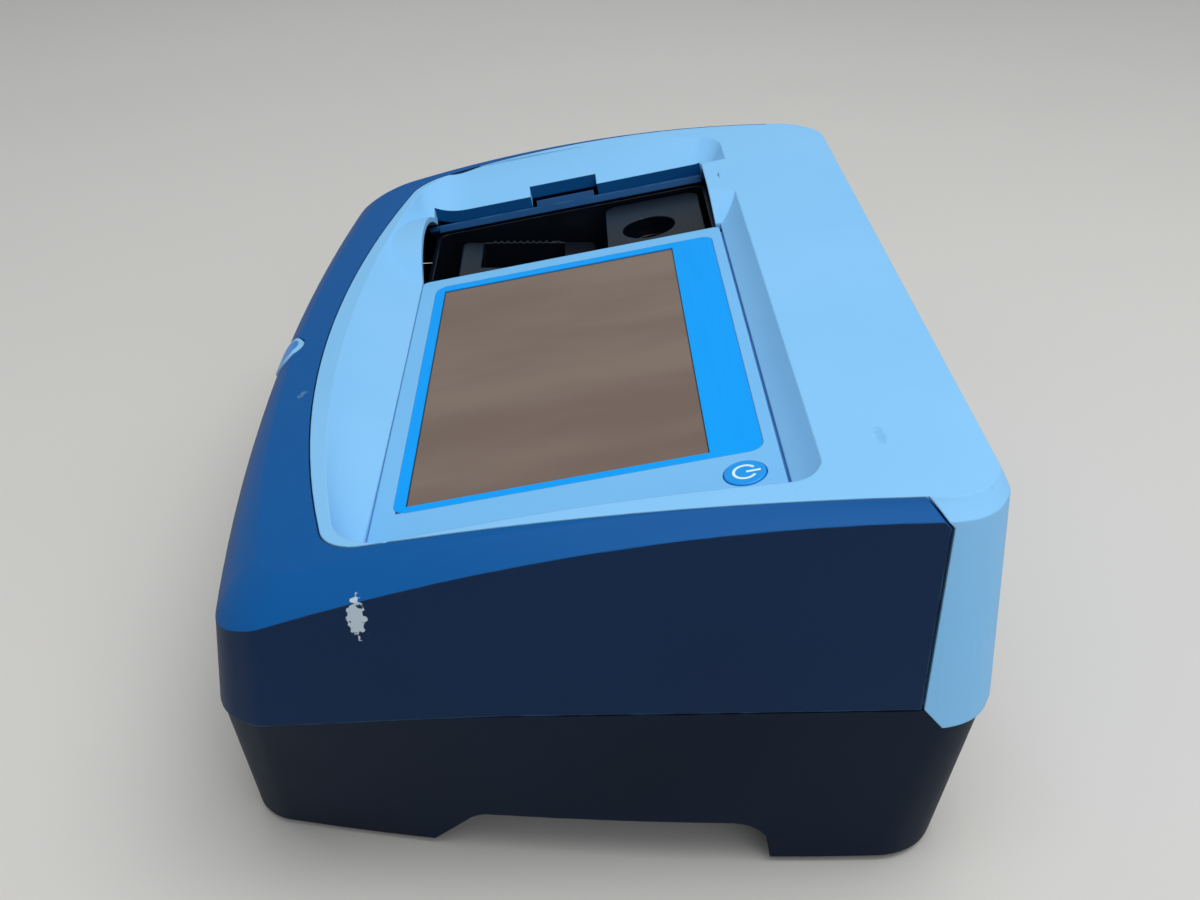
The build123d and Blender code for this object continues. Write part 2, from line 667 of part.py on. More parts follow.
# Black liner of the compartment with its floor and the drive hole
with BuildPart() as cell_tray:
    add(slab(tray_far, tray_near, tray_front, tray_back, tray_deep, tray_top, 6.0))
    add(slab(tray_far + tray_wall, tray_near - tray_wall, tray_front + tray_wall, tray_back - tray_wall,
             tray_deep + tray_wall, 0, 4.5), mode=Mode.SUBTRACT)
    add(stud(well_x, well_s, tray_deep - 1, tray_deep + tray_wall + 1, rotor_shaft_r + pin_gap),
        mode=Mode.SUBTRACT)
    with BuildSketch(Plane(origin=(tray_near + 1, beam_y, beam_z), x_dir=(0, 1, 0), z_dir=(1, 0, 0))):
        Circle(6.0)
    extrude(amount=-8, mode=Mode.SUBTRACT)
    with BuildSketch(Plane(origin=(tray_far - 1, beam_y, beam_z), x_dir=(0, 1, 0), z_dir=(1, 0, 0))):
        Circle(6.0)
    extrude(amount=4, mode=Mode.SUBTRACT)
    for y0, low in ((-58, deck + rim_h), (20, 76)):
        add(block(tray_near - 1, bench_left + 6, y0, y0 + 12, low, low + 3))
        if low > deck + rim_h:
            add(block(bench_left - 3, bench_left + 6, y0, y0 + 12, deck + rim_h, low + 3))
keep(cell_tray, "cell_tray")

# Adapter for the oblong cells, level although the tray slopes
with BuildPart() as cuvette_carrier:
    with Locations((-94.5, -24.5, carrier_top)):
        Box(55, 65, 54, align=(Align.CENTER, Align.CENTER, Align.MAX))
    fillet(cuvette_carrier.edges().filter_by(Axis.Z), radius=4)
    fillet(cuvette_carrier.faces().sort_by(Axis.Z)[-1].edges(), radius=2.0)
    with Locations((-105.5, -27.0, carrier_top - 15)):
        Box(30, 39, 32, mode=Mode.SUBTRACT)
    with BuildSketch(Plane(origin=(-60, beam_y, beam_z), x_dir=(0, 1, 0), z_dir=(1, 0, 0))):
        Circle(4.0)
    extrude(amount=-70, mode=Mode.SUBTRACT)
    add(slab(tray_far, tray_near, tray_front - 10, tray_back, tray_deep - 30, tray_deep + tray_wall),
        mode=Mode.SUBTRACT)
keep(cuvette_carrier, "cuvette_carrier")

# Round-cell block with the well, and the cup that turns the cell
with BuildPart() as round_cell_block:
    add(slab(-127.0, -66.5, 21.5, 66.0, tray_deep + tray_wall, -8.0, 6.0))
    add(stud(well_x, well_s, -48.0, 0, well_r), mode=Mode.SUBTRACT)
    add(stud(well_x, well_s, tray_deep, 0, rotor_shaft_r + pin_gap), mode=Mode.SUBTRACT)
keep(round_cell_block, "round_cell_block")

with BuildPart() as cell_rotor:
    add(stud(well_x, well_s, -47.4, -16.0, well_r - 0.6))
    add(stud(well_x, well_s, -45.0, 0, well_r - 2.4), mode=Mode.SUBTRACT)
    add(stud(well_x, well_s, -68.5, -45.0, rotor_shaft_r))
keep(cell_rotor, "cell_rotor")

rotor_gear_n = tray_deep - 6.5
with BuildPart() as rotor_gear:
    plane = Plane(origin=panel_at(well_x, well_s, rotor_gear_n), x_dir=(1, 0, 0), z_dir=normal)
    add(gear(rotor_teeth, gear_module, 4.0, rotor_shaft_r, plane))
keep(rotor_gear, "rotor_gear")

pinion_x = well_x + gear_module * (rotor_teeth + rotor_pinion_teeth) / 2 + 0.25
with BuildPart() as rotor_pinion:
    plane = Plane(origin=panel_at(pinion_x, well_s, rotor_gear_n), x_dir=(1, 0, 0), z_dir=normal)
    add(gear(rotor_pinion_teeth, gear_module, 4.0, 0, plane, 0.5 * (rotor_pinion_teeth % 2 == 0)))
    add(stud(pinion_x, well_s, rotor_gear_n - 3.0, rotor_gear_n, rotor_motor_shaft_r))
keep(rotor_pinion, "rotor_pinion")

with BuildPart() as rotor_motor:
    add(stud(pinion_x, well_s, rotor_gear_n - 21.0, rotor_gear_n - 1.0, 11.0))
    add(stud(pinion_x, well_s, rotor_gear_n - 4.0, rotor_gear_n, rotor_motor_shaft_r + pin_gap),
        mode=Mode.SUBTRACT)
    add(slab(pinion_x + 10, pinion_x + 13, well_s - 9, well_s + 9, rotor_gear_n - 21.0, tray_deep))
    add(slab(pinion_x - 6, pinion_x + 13, well_s - 9, well_s + 9, tray_deep - 1.6, tray_deep))
keep(rotor_motor, "rotor_motor")

# Cast bench on four legs that carries the optics
leg_r = 5.5
bench_w, bench_h = bench_right - bench_left, bench_back - bench_front
bench_x, bench_y = (bench_left + bench_right) / 2, (bench_front + bench_back) / 2
table_pinion_x = table_x + gear_module * (table_teeth + table_pinion_teeth) / 2 + 0.25
with BuildPart() as optics_base:
    with BuildSketch(Plane.XY.offset(bench_z)):
        with Locations((bench_x, bench_y)):
            RectangleRounded(bench_w, bench_h, 8)
    extrude(amount=bench_t)
    with BuildSketch(Plane.XY.offset(deck)):
        with Locations((bench_x, bench_y)):
            RectangleRounded(bench_w, bench_h, 8)
            RectangleRounded(bench_w - 6, bench_h - 6, 5.5, mode=Mode.SUBTRACT)
    extrude(amount=rim_h)
    with BuildSketch(Plane.XY.offset(bench_z)):
        with Locations((lamp_x, lamp_y)):
            Circle(9)
    extrude(amount=bench_t, mode=Mode.SUBTRACT)
    with Locations(*[(x, y, inside_z + 10) for x, y in bosses]):
        Cylinder(leg_r, bench_z - inside_z - 10, align=(Align.CENTER, Align.CENTER, Align.MIN))
    with Locations((table_x, table_y, bench_z)):
        Cylinder(table_shaft_r + pin_gap, 3 * bench_t, mode=Mode.SUBTRACT)
    with Locations((table_pinion_x, table_y, bench_z)):
        Cylinder(table_motor_shaft_r + pin_gap, 3 * bench_t, mode=Mode.SUBTRACT)
    with Locations((bench_x, bench_y, bench_z)):
        Box(150, 3, 8, align=(Align.CENTER, Align.CENTER, Align.MAX))
        Box(3, 118, 8, align=(Align.CENTER, Align.CENTER, Align.MAX))
keep(optics_base, "optics_base")

with BuildPart() as lamp_house:
    with Locations((lamp_x, lamp_y, deck)):
        Box(36, 36, 34, align=(Align.CENTER, Align.CENTER, Align.MIN))
        Cylinder(11, 40, align=(Align.CENTER, Align.CENTER, Align.MIN), mode=Mode.SUBTRACT)
    fillet(lamp_house.edges().filter_by(Axis.Z).filter_by(GeomType.LINE).sort_by(Axis.X)[:2], radius=3)
    with Locations((lamp_x - 14, lamp_y, beam_z)):
        Cylinder(6, 16, rotation=(0, 90, 0), mode=Mode.SUBTRACT)
    for dz in range(4):
        with Locations((lamp_x + 17, lamp_y, deck + 5 + 8 * dz)):
            Box(6, 36, 3, mode=Mode.SUBTRACT)
keep(lamp_house, "lamp_house")

with BuildPart() as halogen_lamp:
    with Locations((lamp_x, lamp_y, deck - 6)):
        Cylinder(8, 16, align=(Align.CENTER, Align.CENTER, Align.MIN))
    with Locations((lamp_x, lamp_y, deck + 10)):
        Cylinder(5.2, 12, align=(Align.CENTER, Align.CENTER, Align.MIN))
    with Locations((lamp_x, lamp_y, deck + 22)):
        Sphere(5.2)
    with Locations((lamp_x - 3, lamp_y, deck - 6), (lamp_x + 3, lamp_y, deck - 6)):
        Cylinder(0.8, 7, align=(Align.CENTER, Align.CENTER, Align.MAX))
keep(halogen_lamp, "halogen_lamp")

# Filter wheel on its motor, one filter in the beam
wheel_x, wheel_y = 66.0, lamp_y - wheel_ring
with BuildPart() as filter_wheel:
    with BuildSketch(Plane(origin=(wheel_x, wheel_y, beam_z), x_dir=(0, 1, 0), z_dir=(1, 0, 0))):
        Circle(wheel_r)
        Circle(wheel_shaft_r + pin_gap, mode=Mode.SUBTRACT)
        with PolarLocations(wheel_ring, 6):
            Circle(4.2, mode=Mode.SUBTRACT)
    extrude(amount=2.0)
    with BuildSketch(Plane(origin=(wheel_x, wheel_y, beam_z), x_dir=(0, 1, 0), z_dir=(1, 0, 0))):
        Circle(4.0)
        Circle(wheel_shaft_r + pin_gap, mode=Mode.SUBTRACT)
    extrude(amount=-4.0)
keep(filter_wheel, "filter_wheel")

with BuildPart() as filter_motor:
    with Locations((wheel_x - 16, wheel_y, beam_z)):
        Box(18, 18, 18)
    with Locations((wheel_x - 8, wheel_y, beam_z)):
        Cylinder(wheel_shaft_r, 12, rotation=(0, 90, 0), align=(Align.CENTER, Align.CENTER, Align.MIN))
    with Locations((wheel_x - 16, wheel_y, deck)):
        Box(16, 18, beam_z - 9 - deck, align=(Align.CENTER, Align.CENTER, Align.MIN))
keep(filter_motor, "filter_motor")

with BuildPart() as entrance_slit:
    with Locations((34.0, lamp_y, deck)):
        Box(3, 22, 32, align=(Align.CENTER, Align.CENTER, Align.MIN))
        Box(14, 22, 3, align=(Align.CENTER, Align.CENTER, Align.MIN))
    with Locations((34.0, lamp_y, beam_z)):
        Box(6, 1.0, 8, mode=Mode.SUBTRACT)
keep(entrance_slit, "entrance_slit")

# Grating table: hub, arm plate and geared rim on one upright shaft, with the grating on top
with BuildPart() as grating_table:
    add(gear(table_teeth, gear_module, 3.5, 0, Plane(origin=(table_x, table_y, deck + 1.0))))
    with Locations((table_x, table_y, bench_z - 2)):
        Cylinder(table_shaft_r, bench_t + 4, align=(Align.CENTER, Align.CENTER, Align.MIN))
    with Locations((table_x, table_y, deck + 4.5)):
        Cylinder(13, 2.5, align=(Align.CENTER, Align.CENTER, Align.MIN))
        with Locations((-4.5, 0, 2.5)):
            Box(4, 24, 25, align=(Align.CENTER, Align.CENTER, Align.MIN))
keep(grating_table, "grating_table")

with BuildPart() as grating:
    with Locations((table_x - 2.5, table_y, deck + 8.5)):
        Box(5, 22, 22, align=(Align.MIN, Align.CENTER, Align.MIN))
keep(grating, "grating")

with BuildPart() as grating_pinion:
    add(gear(table_pinion_teeth, gear_module, 3.5, 0, Plane(origin=(table_pinion_x, table_y, deck + 1.0)), 0.5))
    with Locations((table_pinion_x, table_y, bench_z - 3)):
        Cylinder(table_motor_shaft_r, bench_t + 5, align=(Align.CENTER, Align.CENTER, Align.MIN))
keep(grating_pinion, "grating_pinion")

with BuildPart() as grating_motor:
    with Locations((table_pinion_x, table_y, bench_z)):
        Cylinder(12, 16, align=(Align.CENTER, Align.CENTER, Align.MAX))
        Cylinder(table_motor_shaft_r + pin_gap, 6, align=(Align.CENTER, Align.CENTER, Align.MAX),
                 mode=Mode.SUBTRACT)
keep(grating_motor, "grating_motor")

with BuildPart() as collimator:
    with Locations(Location((-30.0, 52.0, deck), (0, 0, -28))):
        Box(4, 26, 30, align=(Align.CENTER, Align.CENTER, Align.MIN))
        Box(14, 20, 3, align=(Align.CENTER, Align.CENTER, Align.MIN))
keep(collimator, "collimator")

with BuildPart() as beam_lens:
    with Locations((-36.0, beam_y, beam_z)):
        Cylinder(9, 10, rotation=(0, 90, 0))
        Cylinder(6.5, 10, rotation=(0, 90, 0), mode=Mode.SUBTRACT)
        Cylinder(6.5, 3, rotation=(0, 90, 0))
    with Locations((-36.0, beam_y, deck)):
        Box(7, 12, beam_z - 8.3 - deck, align=(Align.CENTER, Align.CENTER, Align.MIN))
keep(beam_lens, "beam_lens")

with BuildPart() as sample_detector:
    with Locations((tray_far - 5, beam_y, beam_z)):
        Box(10, 20, 18)
    with Locations((tray_far - 10.8, beam_y, beam_z)):
        Box(1.6, 24, 22)
keep(sample_detector, "sample_detector")

with BuildPart() as reference_detector:
    with Locations((10.0, -42.0, deck)):
        Box(18, 3, 30, align=(Align.CENTER, Align.CENTER, Align.MIN))
        Box(18, 14, 3, align=(Align.CENTER, Align.CENTER, Align.MIN))
    with Locations((10.0, -39.5, beam_z)):
        Cylinder(5, 3, rotation=(90, 0, 0))
keep(reference_detector, "reference_detector")

# Boards in the tub
with BuildPart() as power_board:
    with Locations((30, -15, inside_z + 5)):
        Box(116, 64, 1.6, align=(Align.CENTER, Align.CENTER, Align.MIN))
    with Locations((-2, -16, inside_z + 6.6)):
        Box(26, 30, 20, align=(Align.CENTER, Align.CENTER, Align.MIN))
    with Locations((52, 4, inside_z + 6.6), (64, 4, inside_z + 6.6), (58, -20, inside_z + 6.6)):
        Cylinder(5, 18, align=(Align.CENTER, Align.CENTER, Align.MIN))
    with Locations((28, 2, inside_z + 6.6)):
        Box(20, 14, 9, align=(Align.CENTER, Align.CENTER, Align.MIN))
keep(power_board, "power_board")

board_y = port_y - 10.0
with BuildPart() as interface_board:
    with Locations((2, board_y, 34)):
        Box(124, 1.6, 42)
    with Locations((-56, board_y, inside_z), (60, board_y, inside_z)):
        Box(8, 6, 9.5, align=(Align.CENTER, Align.CENTER, Align.MIN))
keep(interface_board, "interface_board")

# Connector panel and the sockets in it
port_z = 34.0
ports = {"dc": (46.0, port_z), "lan": (10.0, port_z), "usb_b": (-17.0, port_z),
         "usb_low": (-44.0, port_z - 7), "usb_high": (-44.0, port_z + 7)}
rocker_x = 76.0
rocker_w, rocker_h = 12.8, 19.4
with BuildPart() as connector_panel:
    with Locations((13, port_y + 1.0, port_z)):
        Box(port_right - port_left - 0.6 + 2, 2.0, port_high - port_low + 4)
    with Locations((ports["lan"][0], port_y, port_z)):
        Box(16.4, 10, 13.8, mode=Mode.SUBTRACT)
    with Locations((ports["usb_b"][0], port_y, port_z)):
        Box(12.4, 10, 11.4, mode=Mode.SUBTRACT)
    with Locations(*[(ports[n][0], port_y, ports[n][1]) for n in ("usb_low", "usb_high")]):
        Box(15.0, 10, 7.6, mode=Mode.SUBTRACT)
    with Locations((ports["dc"][0], port_y, port_z)):
        Cylinder(6.3, 10, rotation=(90, 0, 0), mode=Mode.SUBTRACT)
    with Locations((rocker_x, port_y, port_z)):
        Box(rocker_w + 0.4, 10, rocker_h + 0.4, mode=Mode.SUBTRACT)
    with Locations((-59, port_y, port_high - 2), (85, port_y, port_high - 2), (-59, port_y, port_low + 2),
                   (85, port_y, port_low + 2)):
        Cylinder(1.7, 10, rotation=(90, 0, 0), mode=Mode.SUBTRACT)
keep(connector_panel, "connector_panel")

front_of_board = board_y + 0.8


def socket_body(x, z, w, h, out):
    """Box from the board to a little proud of the panel."""
    with BuildPart() as body:
        with Locations((x, front_of_board, z)):
            Box(w, port_y + 2.0 + out - front_of_board, h, align=(Align.CENTER, Align.MIN, Align.CENTER))
    return body.part


face_y = port_y + 2.0
cup_y = front_of_board + 3.0
with BuildPart() as lan_socket:
    x, z = ports["lan"]
    add(socket_body(x, z, 16.0, 13.4, 0.6))
    add(block(x - 5.9, x + 5.9, cup_y, face_y + 2, z - 4.8, z + 2.8), mode=Mode.SUBTRACT)
    add(block(x - 3.0, x + 3.0, cup_y, face_y + 2, z - 6.0, z - 4.0), mode=Mode.SUBTRACT)
    add(block(x - 4.8, x + 4.8, cup_y - 1, face_y - 4, z + 1.2, z + 2.0))
keep(lan_socket, "lan_socket")

with BuildPart() as usb_b_socket:
    x, z = ports["usb_b"]
    add(socket_body(x, z, 12.0, 11.0, 0.6))
    add(block(x - 4.3, x + 4.3, cup_y, face_y + 2, z - 3.95, z + 3.95), mode=Mode.SUBTRACT)
    add(block(x - 2.8, x + 2.8, cup_y - 1, face_y - 0.4, z - 1.6, z + 1.6))
keep(usb_b_socket, "usb_b_socket")

for usb_name in ("usb_low", "usb_high"):
    x, z = ports[usb_name]
    with BuildPart() as usb_a:
        add(socket_body(x, z, 14.6, 7.2, 0.6))
        add(block(x - 6.3, x + 6.3, cup_y, face_y + 2, z - 2.6, z + 2.6), mode=Mode.SUBTRACT)
        add(block(x - 5.6, x + 5.6, cup_y - 1, face_y - 0.6, z, z + 1.9))
    keep(usb_a, usb_name.replace("usb_", "usb_a_"))

with BuildPart() as dc_inlet:
    x, z = ports["dc"]
    with Locations((x, front_of_board, z)):
        Box(14, port_y - front_of_board, 14, align=(Align.CENTER, Align.MIN, Align.CENTER))
    with Locations((x, port_y, z)):
        Cylinder(6.0, 2.6, rotation=(-90, 0, 0), align=(Align.CENTER, Align.CENTER, Align.MIN))
    with Locations((x, cup_y, z)):
        Cylinder(3.3, 20, rotation=(-90, 0, 0), align=(Align.CENTER, Align.CENTER, Align.MIN), mode=Mode.SUBTRACT)
        Cylinder(1.1, face_y - 0.8 - cup_y, rotation=(-90, 0, 0), align=(Align.CENTER, Align.CENTER, Align.MIN))
keep(dc_inlet, "dc_inlet")

# Rocker switch: frame snapped in from outside, rocker on a pin across it
rocker_tilt, rocker_in = 8.0, 3.0
with BuildPart() as rocker_frame:
    with Locations((rocker_x, port_y - 8, port_z)):
        Box(rocker_w, 20, rocker_h)
    with Locations((rocker_x, face_y, port_z)):
        Box(rocker_w + 2.4, 1.6, rocker_h + 2.4, align=(Align.CENTER, Align.MIN, Align.CENTER))
        Box(rocker_w - 2.4, 20, rocker_h - 3.0, mode=Mode.SUBTRACT)
    with Locations((rocker_x, face_y - rocker_in, port_z)):
        Cylinder(1.05, rocker_w - 0.8, rotation=(0, 90, 0), mode=Mode.SUBTRACT)
keep(rocker_frame, "rocker_frame")

with BuildPart() as rocker:
    c, s = math.cos(math.radians(rocker_tilt)), math.sin(math.radians(rocker_tilt))
    shape = [(-3.2, -6.0), (4.6, -6.5), (3.0, 0.0), (4.6, 6.5), (-3.2, 6.0)]
    with BuildSketch(Plane(origin=(rocker_x, face_y - rocker_in, port_z), x_dir=(0, 1, 0), z_dir=(1, 0, 0))):
        with BuildLine():
            Polyline(*[(y * c - z * s, y * s + z * c) for y, z in shape], close=True)
        make_face()
        Circle(1.05 + pin_gap, mode=Mode.SUBTRACT)
    extrude(amount=(rocker_w - 2.4) / 2 - 0.25, both=True)
keep(rocker, "rocker")

with BuildPart() as rocker_pin:
    with Locations((rocker_x, face_y - rocker_in, port_z)):
        Cylinder(1.05, rocker_w - 0.8, rotation=(0, 90, 0))
keep(rocker_pin, "rocker_pin")
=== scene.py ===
import math

import bmesh
import bpy
from mathutils import Matrix, Vector


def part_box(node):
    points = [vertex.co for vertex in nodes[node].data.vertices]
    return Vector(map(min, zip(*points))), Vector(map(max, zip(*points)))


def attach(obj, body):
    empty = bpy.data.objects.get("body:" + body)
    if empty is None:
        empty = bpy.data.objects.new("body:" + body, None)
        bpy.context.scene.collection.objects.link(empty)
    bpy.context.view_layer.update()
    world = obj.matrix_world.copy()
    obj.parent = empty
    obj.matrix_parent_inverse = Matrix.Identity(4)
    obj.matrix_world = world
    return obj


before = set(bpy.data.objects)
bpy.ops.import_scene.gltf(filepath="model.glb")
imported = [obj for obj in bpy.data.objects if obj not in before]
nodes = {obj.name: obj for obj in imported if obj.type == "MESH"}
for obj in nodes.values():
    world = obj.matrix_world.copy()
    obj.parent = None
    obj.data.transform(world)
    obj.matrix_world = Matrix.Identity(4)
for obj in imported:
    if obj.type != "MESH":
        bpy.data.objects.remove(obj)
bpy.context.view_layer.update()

# Camera. The picture was taken close by, from the instrument's right side and from above, with a
# short standard lens, so that the far end narrows clearly.
eye = Vector((0.4654, -0.0058, 0.3510))
aim = Vector((0.0262, 0.0060, 0.0800))
camera = bpy.data.objects.new("camera", bpy.data.cameras.new("camera"))
camera.data.lens = 38.76
camera.data.sensor_width = 36.0
camera.data.clip_start = 0.02
camera.location = eye
camera.rotation_mode = "QUATERNION"
camera_roll = math.radians(0.27)
camera.rotation_quaternion = (aim - eye).to_track_quat("-Z", "Y") @ Matrix.Rotation(
    camera_roll, 4, "Z").to_quaternion()
bpy.context.scene.collection.objects.link(camera)
bpy.context.scene.camera = camera
bpy.context.scene.view_settings.view_transform = "Standard"


def linear(code):
    """sRGB hex colour as linear values with alpha."""
    values = []
    for i in (1, 3, 5):
        v = int(code[i:i + 2], 16) / 255
        values.append(v / 12.92 if v <= 0.04045 else ((v + 0.055) / 1.055) ** 2.4)
    return (*values, 1.0)


def add(tree, kind, settings, sockets):
    """Adds a node. A socket's value is a number, a colour or another node's output to link."""
    node = tree.nodes.new(kind)
    for key, value in settings.items():
        setattr(node, key, value)
    for key, value in sockets.items():
        if isinstance(value, bpy.types.NodeSocket):
            tree.links.new(value, node.inputs[key])
        else:
            node.inputs[key].default_value = value
    return node


def fresh(name):
    """Empty material with an output, returned with its tree and the output node."""
    material = bpy.data.materials.new(name)
    material.use_nodes = True
    tree = material.node_tree
    tree.nodes.clear()
    return material, tree, tree.nodes.new("ShaderNodeOutputMaterial")


# Table and studio. A pale seamless paper sheet under and behind the instrument, one wide soft box
# above it, a weak one at its side and an even pale room. The tops come out brighter than the sides.
material, tree, output = fresh("pale paper backdrop")
paper_noise = add(tree, "ShaderNodeTexNoise", {}, {"Scale": 14.0, "Detail": 3.0})
paper_tone = add(tree, "ShaderNodeMix", {"data_type": "RGBA"}, {
    0: paper_noise.outputs["Fac"], 6: linear("#DAD8D4"), 7: linear("#D2D0CC")})
paper = add(tree, "ShaderNodeBsdfPrincipled", {}, {"Base Color": paper_tone.outputs[2], "Roughness": 0.9})
tree.links.new(paper.outputs[0], output.inputs["Surface"])

sheet = bmesh.new()
front_edge, back_edge, bend, top_edge, side_edge = 4.0, 3.2, 1.2, 3.4, 4.5
bend_steps = 12
profile = [(front_edge, 0.0)]
for i in range(bend_steps + 1):
    a = math.radians(90 * i / bend_steps)
    profile.append((-back_edge + bend - bend * math.sin(a), bend - bend * math.cos(a)))
profile.append((-back_edge, top_edge))
rows = [[sheet.verts.new((x, y, z)) for y in (-side_edge, side_edge)] for x, z in profile]
for a, b in zip(rows, rows[1:]):
    sheet.faces.new((a[0], a[1], b[1], b[0]))
mesh = bpy.data.meshes.new("backdrop")
sheet.to_mesh(mesh)
sheet.free()
for polygon in mesh.polygons:
    polygon.use_smooth = True
backdrop = bpy.data.objects.new("backdrop", mesh)
backdrop.data.materials.append(material)
bpy.context.scene.collection.objects.link(backdrop)

world = bpy.data.worlds.new("studio room")
world.use_nodes = True
bpy.context.scene.world = world
room = world.node_tree.nodes["Background"]
room.inputs["Color"].default_value = linear("#F2F6FA")
room.inputs["Strength"].default_value = 0.46


instrument_middle = Vector((0, 0, 0.08))


def soft_box(name, place, width, height, watts):
    """Rectangular lamp that faces the instrument."""
    lamp = bpy.data.lights.new(name, "AREA")
    lamp.shape = "RECTANGLE"
    lamp.size, lamp.size_y = width, height
    lamp.energy = watts
    lamp_object = bpy.data.objects.new(name, lamp)
    lamp_object.location = place
    lamp_object.rotation_mode = "QUATERNION"
    lamp_object.rotation_quaternion = (instrument_middle - Vector(place)).to_track_quat("-Z", "Y")
    bpy.context.scene.collection.objects.link(lamp_object)


soft_box("top soft box", (0.25, 0.3, 1.6), 1.5, 1.3, 17.5)
soft_box("side fill", (1.5, 0.6, 0.9), 1.0, 0.8, 3.0)


def shade(node_name, degrees=32.0):
    """Faces that meet at a small angle shade as one surface, and the real edges stay crisp."""
    mesh = nodes[node_name].data
    work = bmesh.new()
    work.from_mesh(mesh)
    limit = math.radians(degrees)
    for edge in work.edges:
        edge.smooth = len(edge.link_faces) == 2 and edge.calc_face_angle(0.0) < limit
    for face in work.faces:
        face.smooth = True
    work.to_mesh(mesh)
    work.free()


def dress(material, *names):
    """Gives nodes their material."""
    for name in names:
        node = nodes[name]
        node.data.materials.clear()
        node.data.materials.append(material)


# Pale face and back, and the flat plate in it. Injection mouldings in ABS and polycarbonate from a tool
# that was spark-eroded to a fine satin grain. They are pale sky blue, and the edges are rubbed paler.
def moulded(name, tint, drifted, rubbed, grain_mm, dull, shine, rub=0.6, marks=None):
    """Satin moulding: a slow drift of tone, an eroded grain, drawn coarser, and edges rubbed paler."""
    material, tree, output = fresh(name)
    at = add(tree, "ShaderNodeTexCoord", {}, {}).outputs["Object"]
    drift = add(tree, "ShaderNodeTexNoise", {}, {"Vector": at, "Scale": 1000 / 85, "Detail": 4.0})
    drift_range = add(tree, "ShaderNodeMapRange", {}, {
        "Value": drift.outputs["Fac"], "From Min": 0.3, "From Max": 0.7})
    grain = add(tree, "ShaderNodeTexNoise", {}, {
        "Vector": at, "Scale": 1000 / grain_mm, "Detail": 2.0, "Roughness": 0.65})
    tone = add(tree, "ShaderNodeMix", {"data_type": "RGBA"}, {
        0: drift_range.outputs[0], 6: linear(tint), 7: linear(drifted)})
    rounded = add(tree, "ShaderNodeBevel", {"samples": 6}, {"Radius": 0.0008})
    surface = add(tree, "ShaderNodeNewGeometry", {}, {})
    agreement = add(tree, "ShaderNodeVectorMath", {"operation": "DOT_PRODUCT"}, {
        0: rounded.outputs[0], 1: surface.outputs["Normal"]})
    edge = add(tree, "ShaderNodeMapRange", {}, {
        "Value": agreement.outputs["Value"], "From Min": 0.995, "From Max": 0.86})
    patches = add(tree, "ShaderNodeTexNoise", {}, {"Vector": at, "Scale": 1000 / 11, "Detail": 5.0})
    patch_range = add(tree, "ShaderNodeMapRange", {}, {
        "Value": patches.outputs["Fac"], "From Min": 0.42, "From Max": 0.62, "To Max": rub})
    wear = add(tree, "ShaderNodeMath", {"operation": "MULTIPLY"}, {
        0: edge.outputs[0], 1: patch_range.outputs[0]})
    worn = add(tree, "ShaderNodeMix", {"data_type": "RGBA"}, {
        0: wear.outputs[0], 6: tone.outputs[2], 7: linear(rubbed)})
    colour = worn.outputs[2]
    if marks:
        colour = marks(tree, at, colour)
    gloss = add(tree, "ShaderNodeMapRange", {}, {
        "Value": drift.outputs["Fac"], "To Min": dull - 0.05, "To Max": dull + 0.05})
    bump = add(tree, "ShaderNodeBump", {}, {
        "Height": grain.outputs["Fac"], "Strength": 0.35, "Distance": grain_mm * 0.00006,
        "Normal": rounded.outputs[0]})
    skin = add(tree, "ShaderNodeBsdfPrincipled", {}, {
        "Base Color": colour, "Roughness": gloss.outputs[0], "Specular IOR Level": shine, "IOR": 1.5,
        "Normal": bump.outputs[0]})
    tree.links.new(skin.outputs[0], output.inputs["Surface"])
    return material


def patch_mask(tree, at, centre_mm, reach_mm, ragged_mm, depth):
    """1 inside a ragged patch round a point, 0 outside."""
    centre = tuple(v / 1000 for v in centre_mm)
    away = add(tree, "ShaderNodeVectorMath", {"operation": "SUBTRACT"}, {0: at, 1: centre})
    scaled = add(tree, "ShaderNodeVectorMath", {"operation": "DIVIDE"}, {
        0: away.outputs[0], 1: tuple(v / 1000 for v in reach_mm)})
    distance = add(tree, "ShaderNodeVectorMath", {"operation": "LENGTH"}, {0: scaled.outputs[0]})
    ragged = add(tree, "ShaderNodeTexNoise", {}, {"Vector": at, "Scale": 1000 / ragged_mm, "Detail": 6.0})
    shifted = add(tree, "ShaderNodeMath", {"operation": "MULTIPLY_ADD"}, {
        0: ragged.outputs["Fac"], 1: depth, 2: distance.outputs["Value"]})
    return add(tree, "ShaderNodeMapRange", {}, {
        "Value": shifted.outputs[0], "From Min": 1.0 + depth / 2, "From Max": 0.9 + depth / 2}).outputs[0]


# The cut faces along the far edge of the compartment's opening are coloured like the shutter under
# them. They lie between these two distances from the middle.
cut_far, cut_near = -0.1453, -0.1374


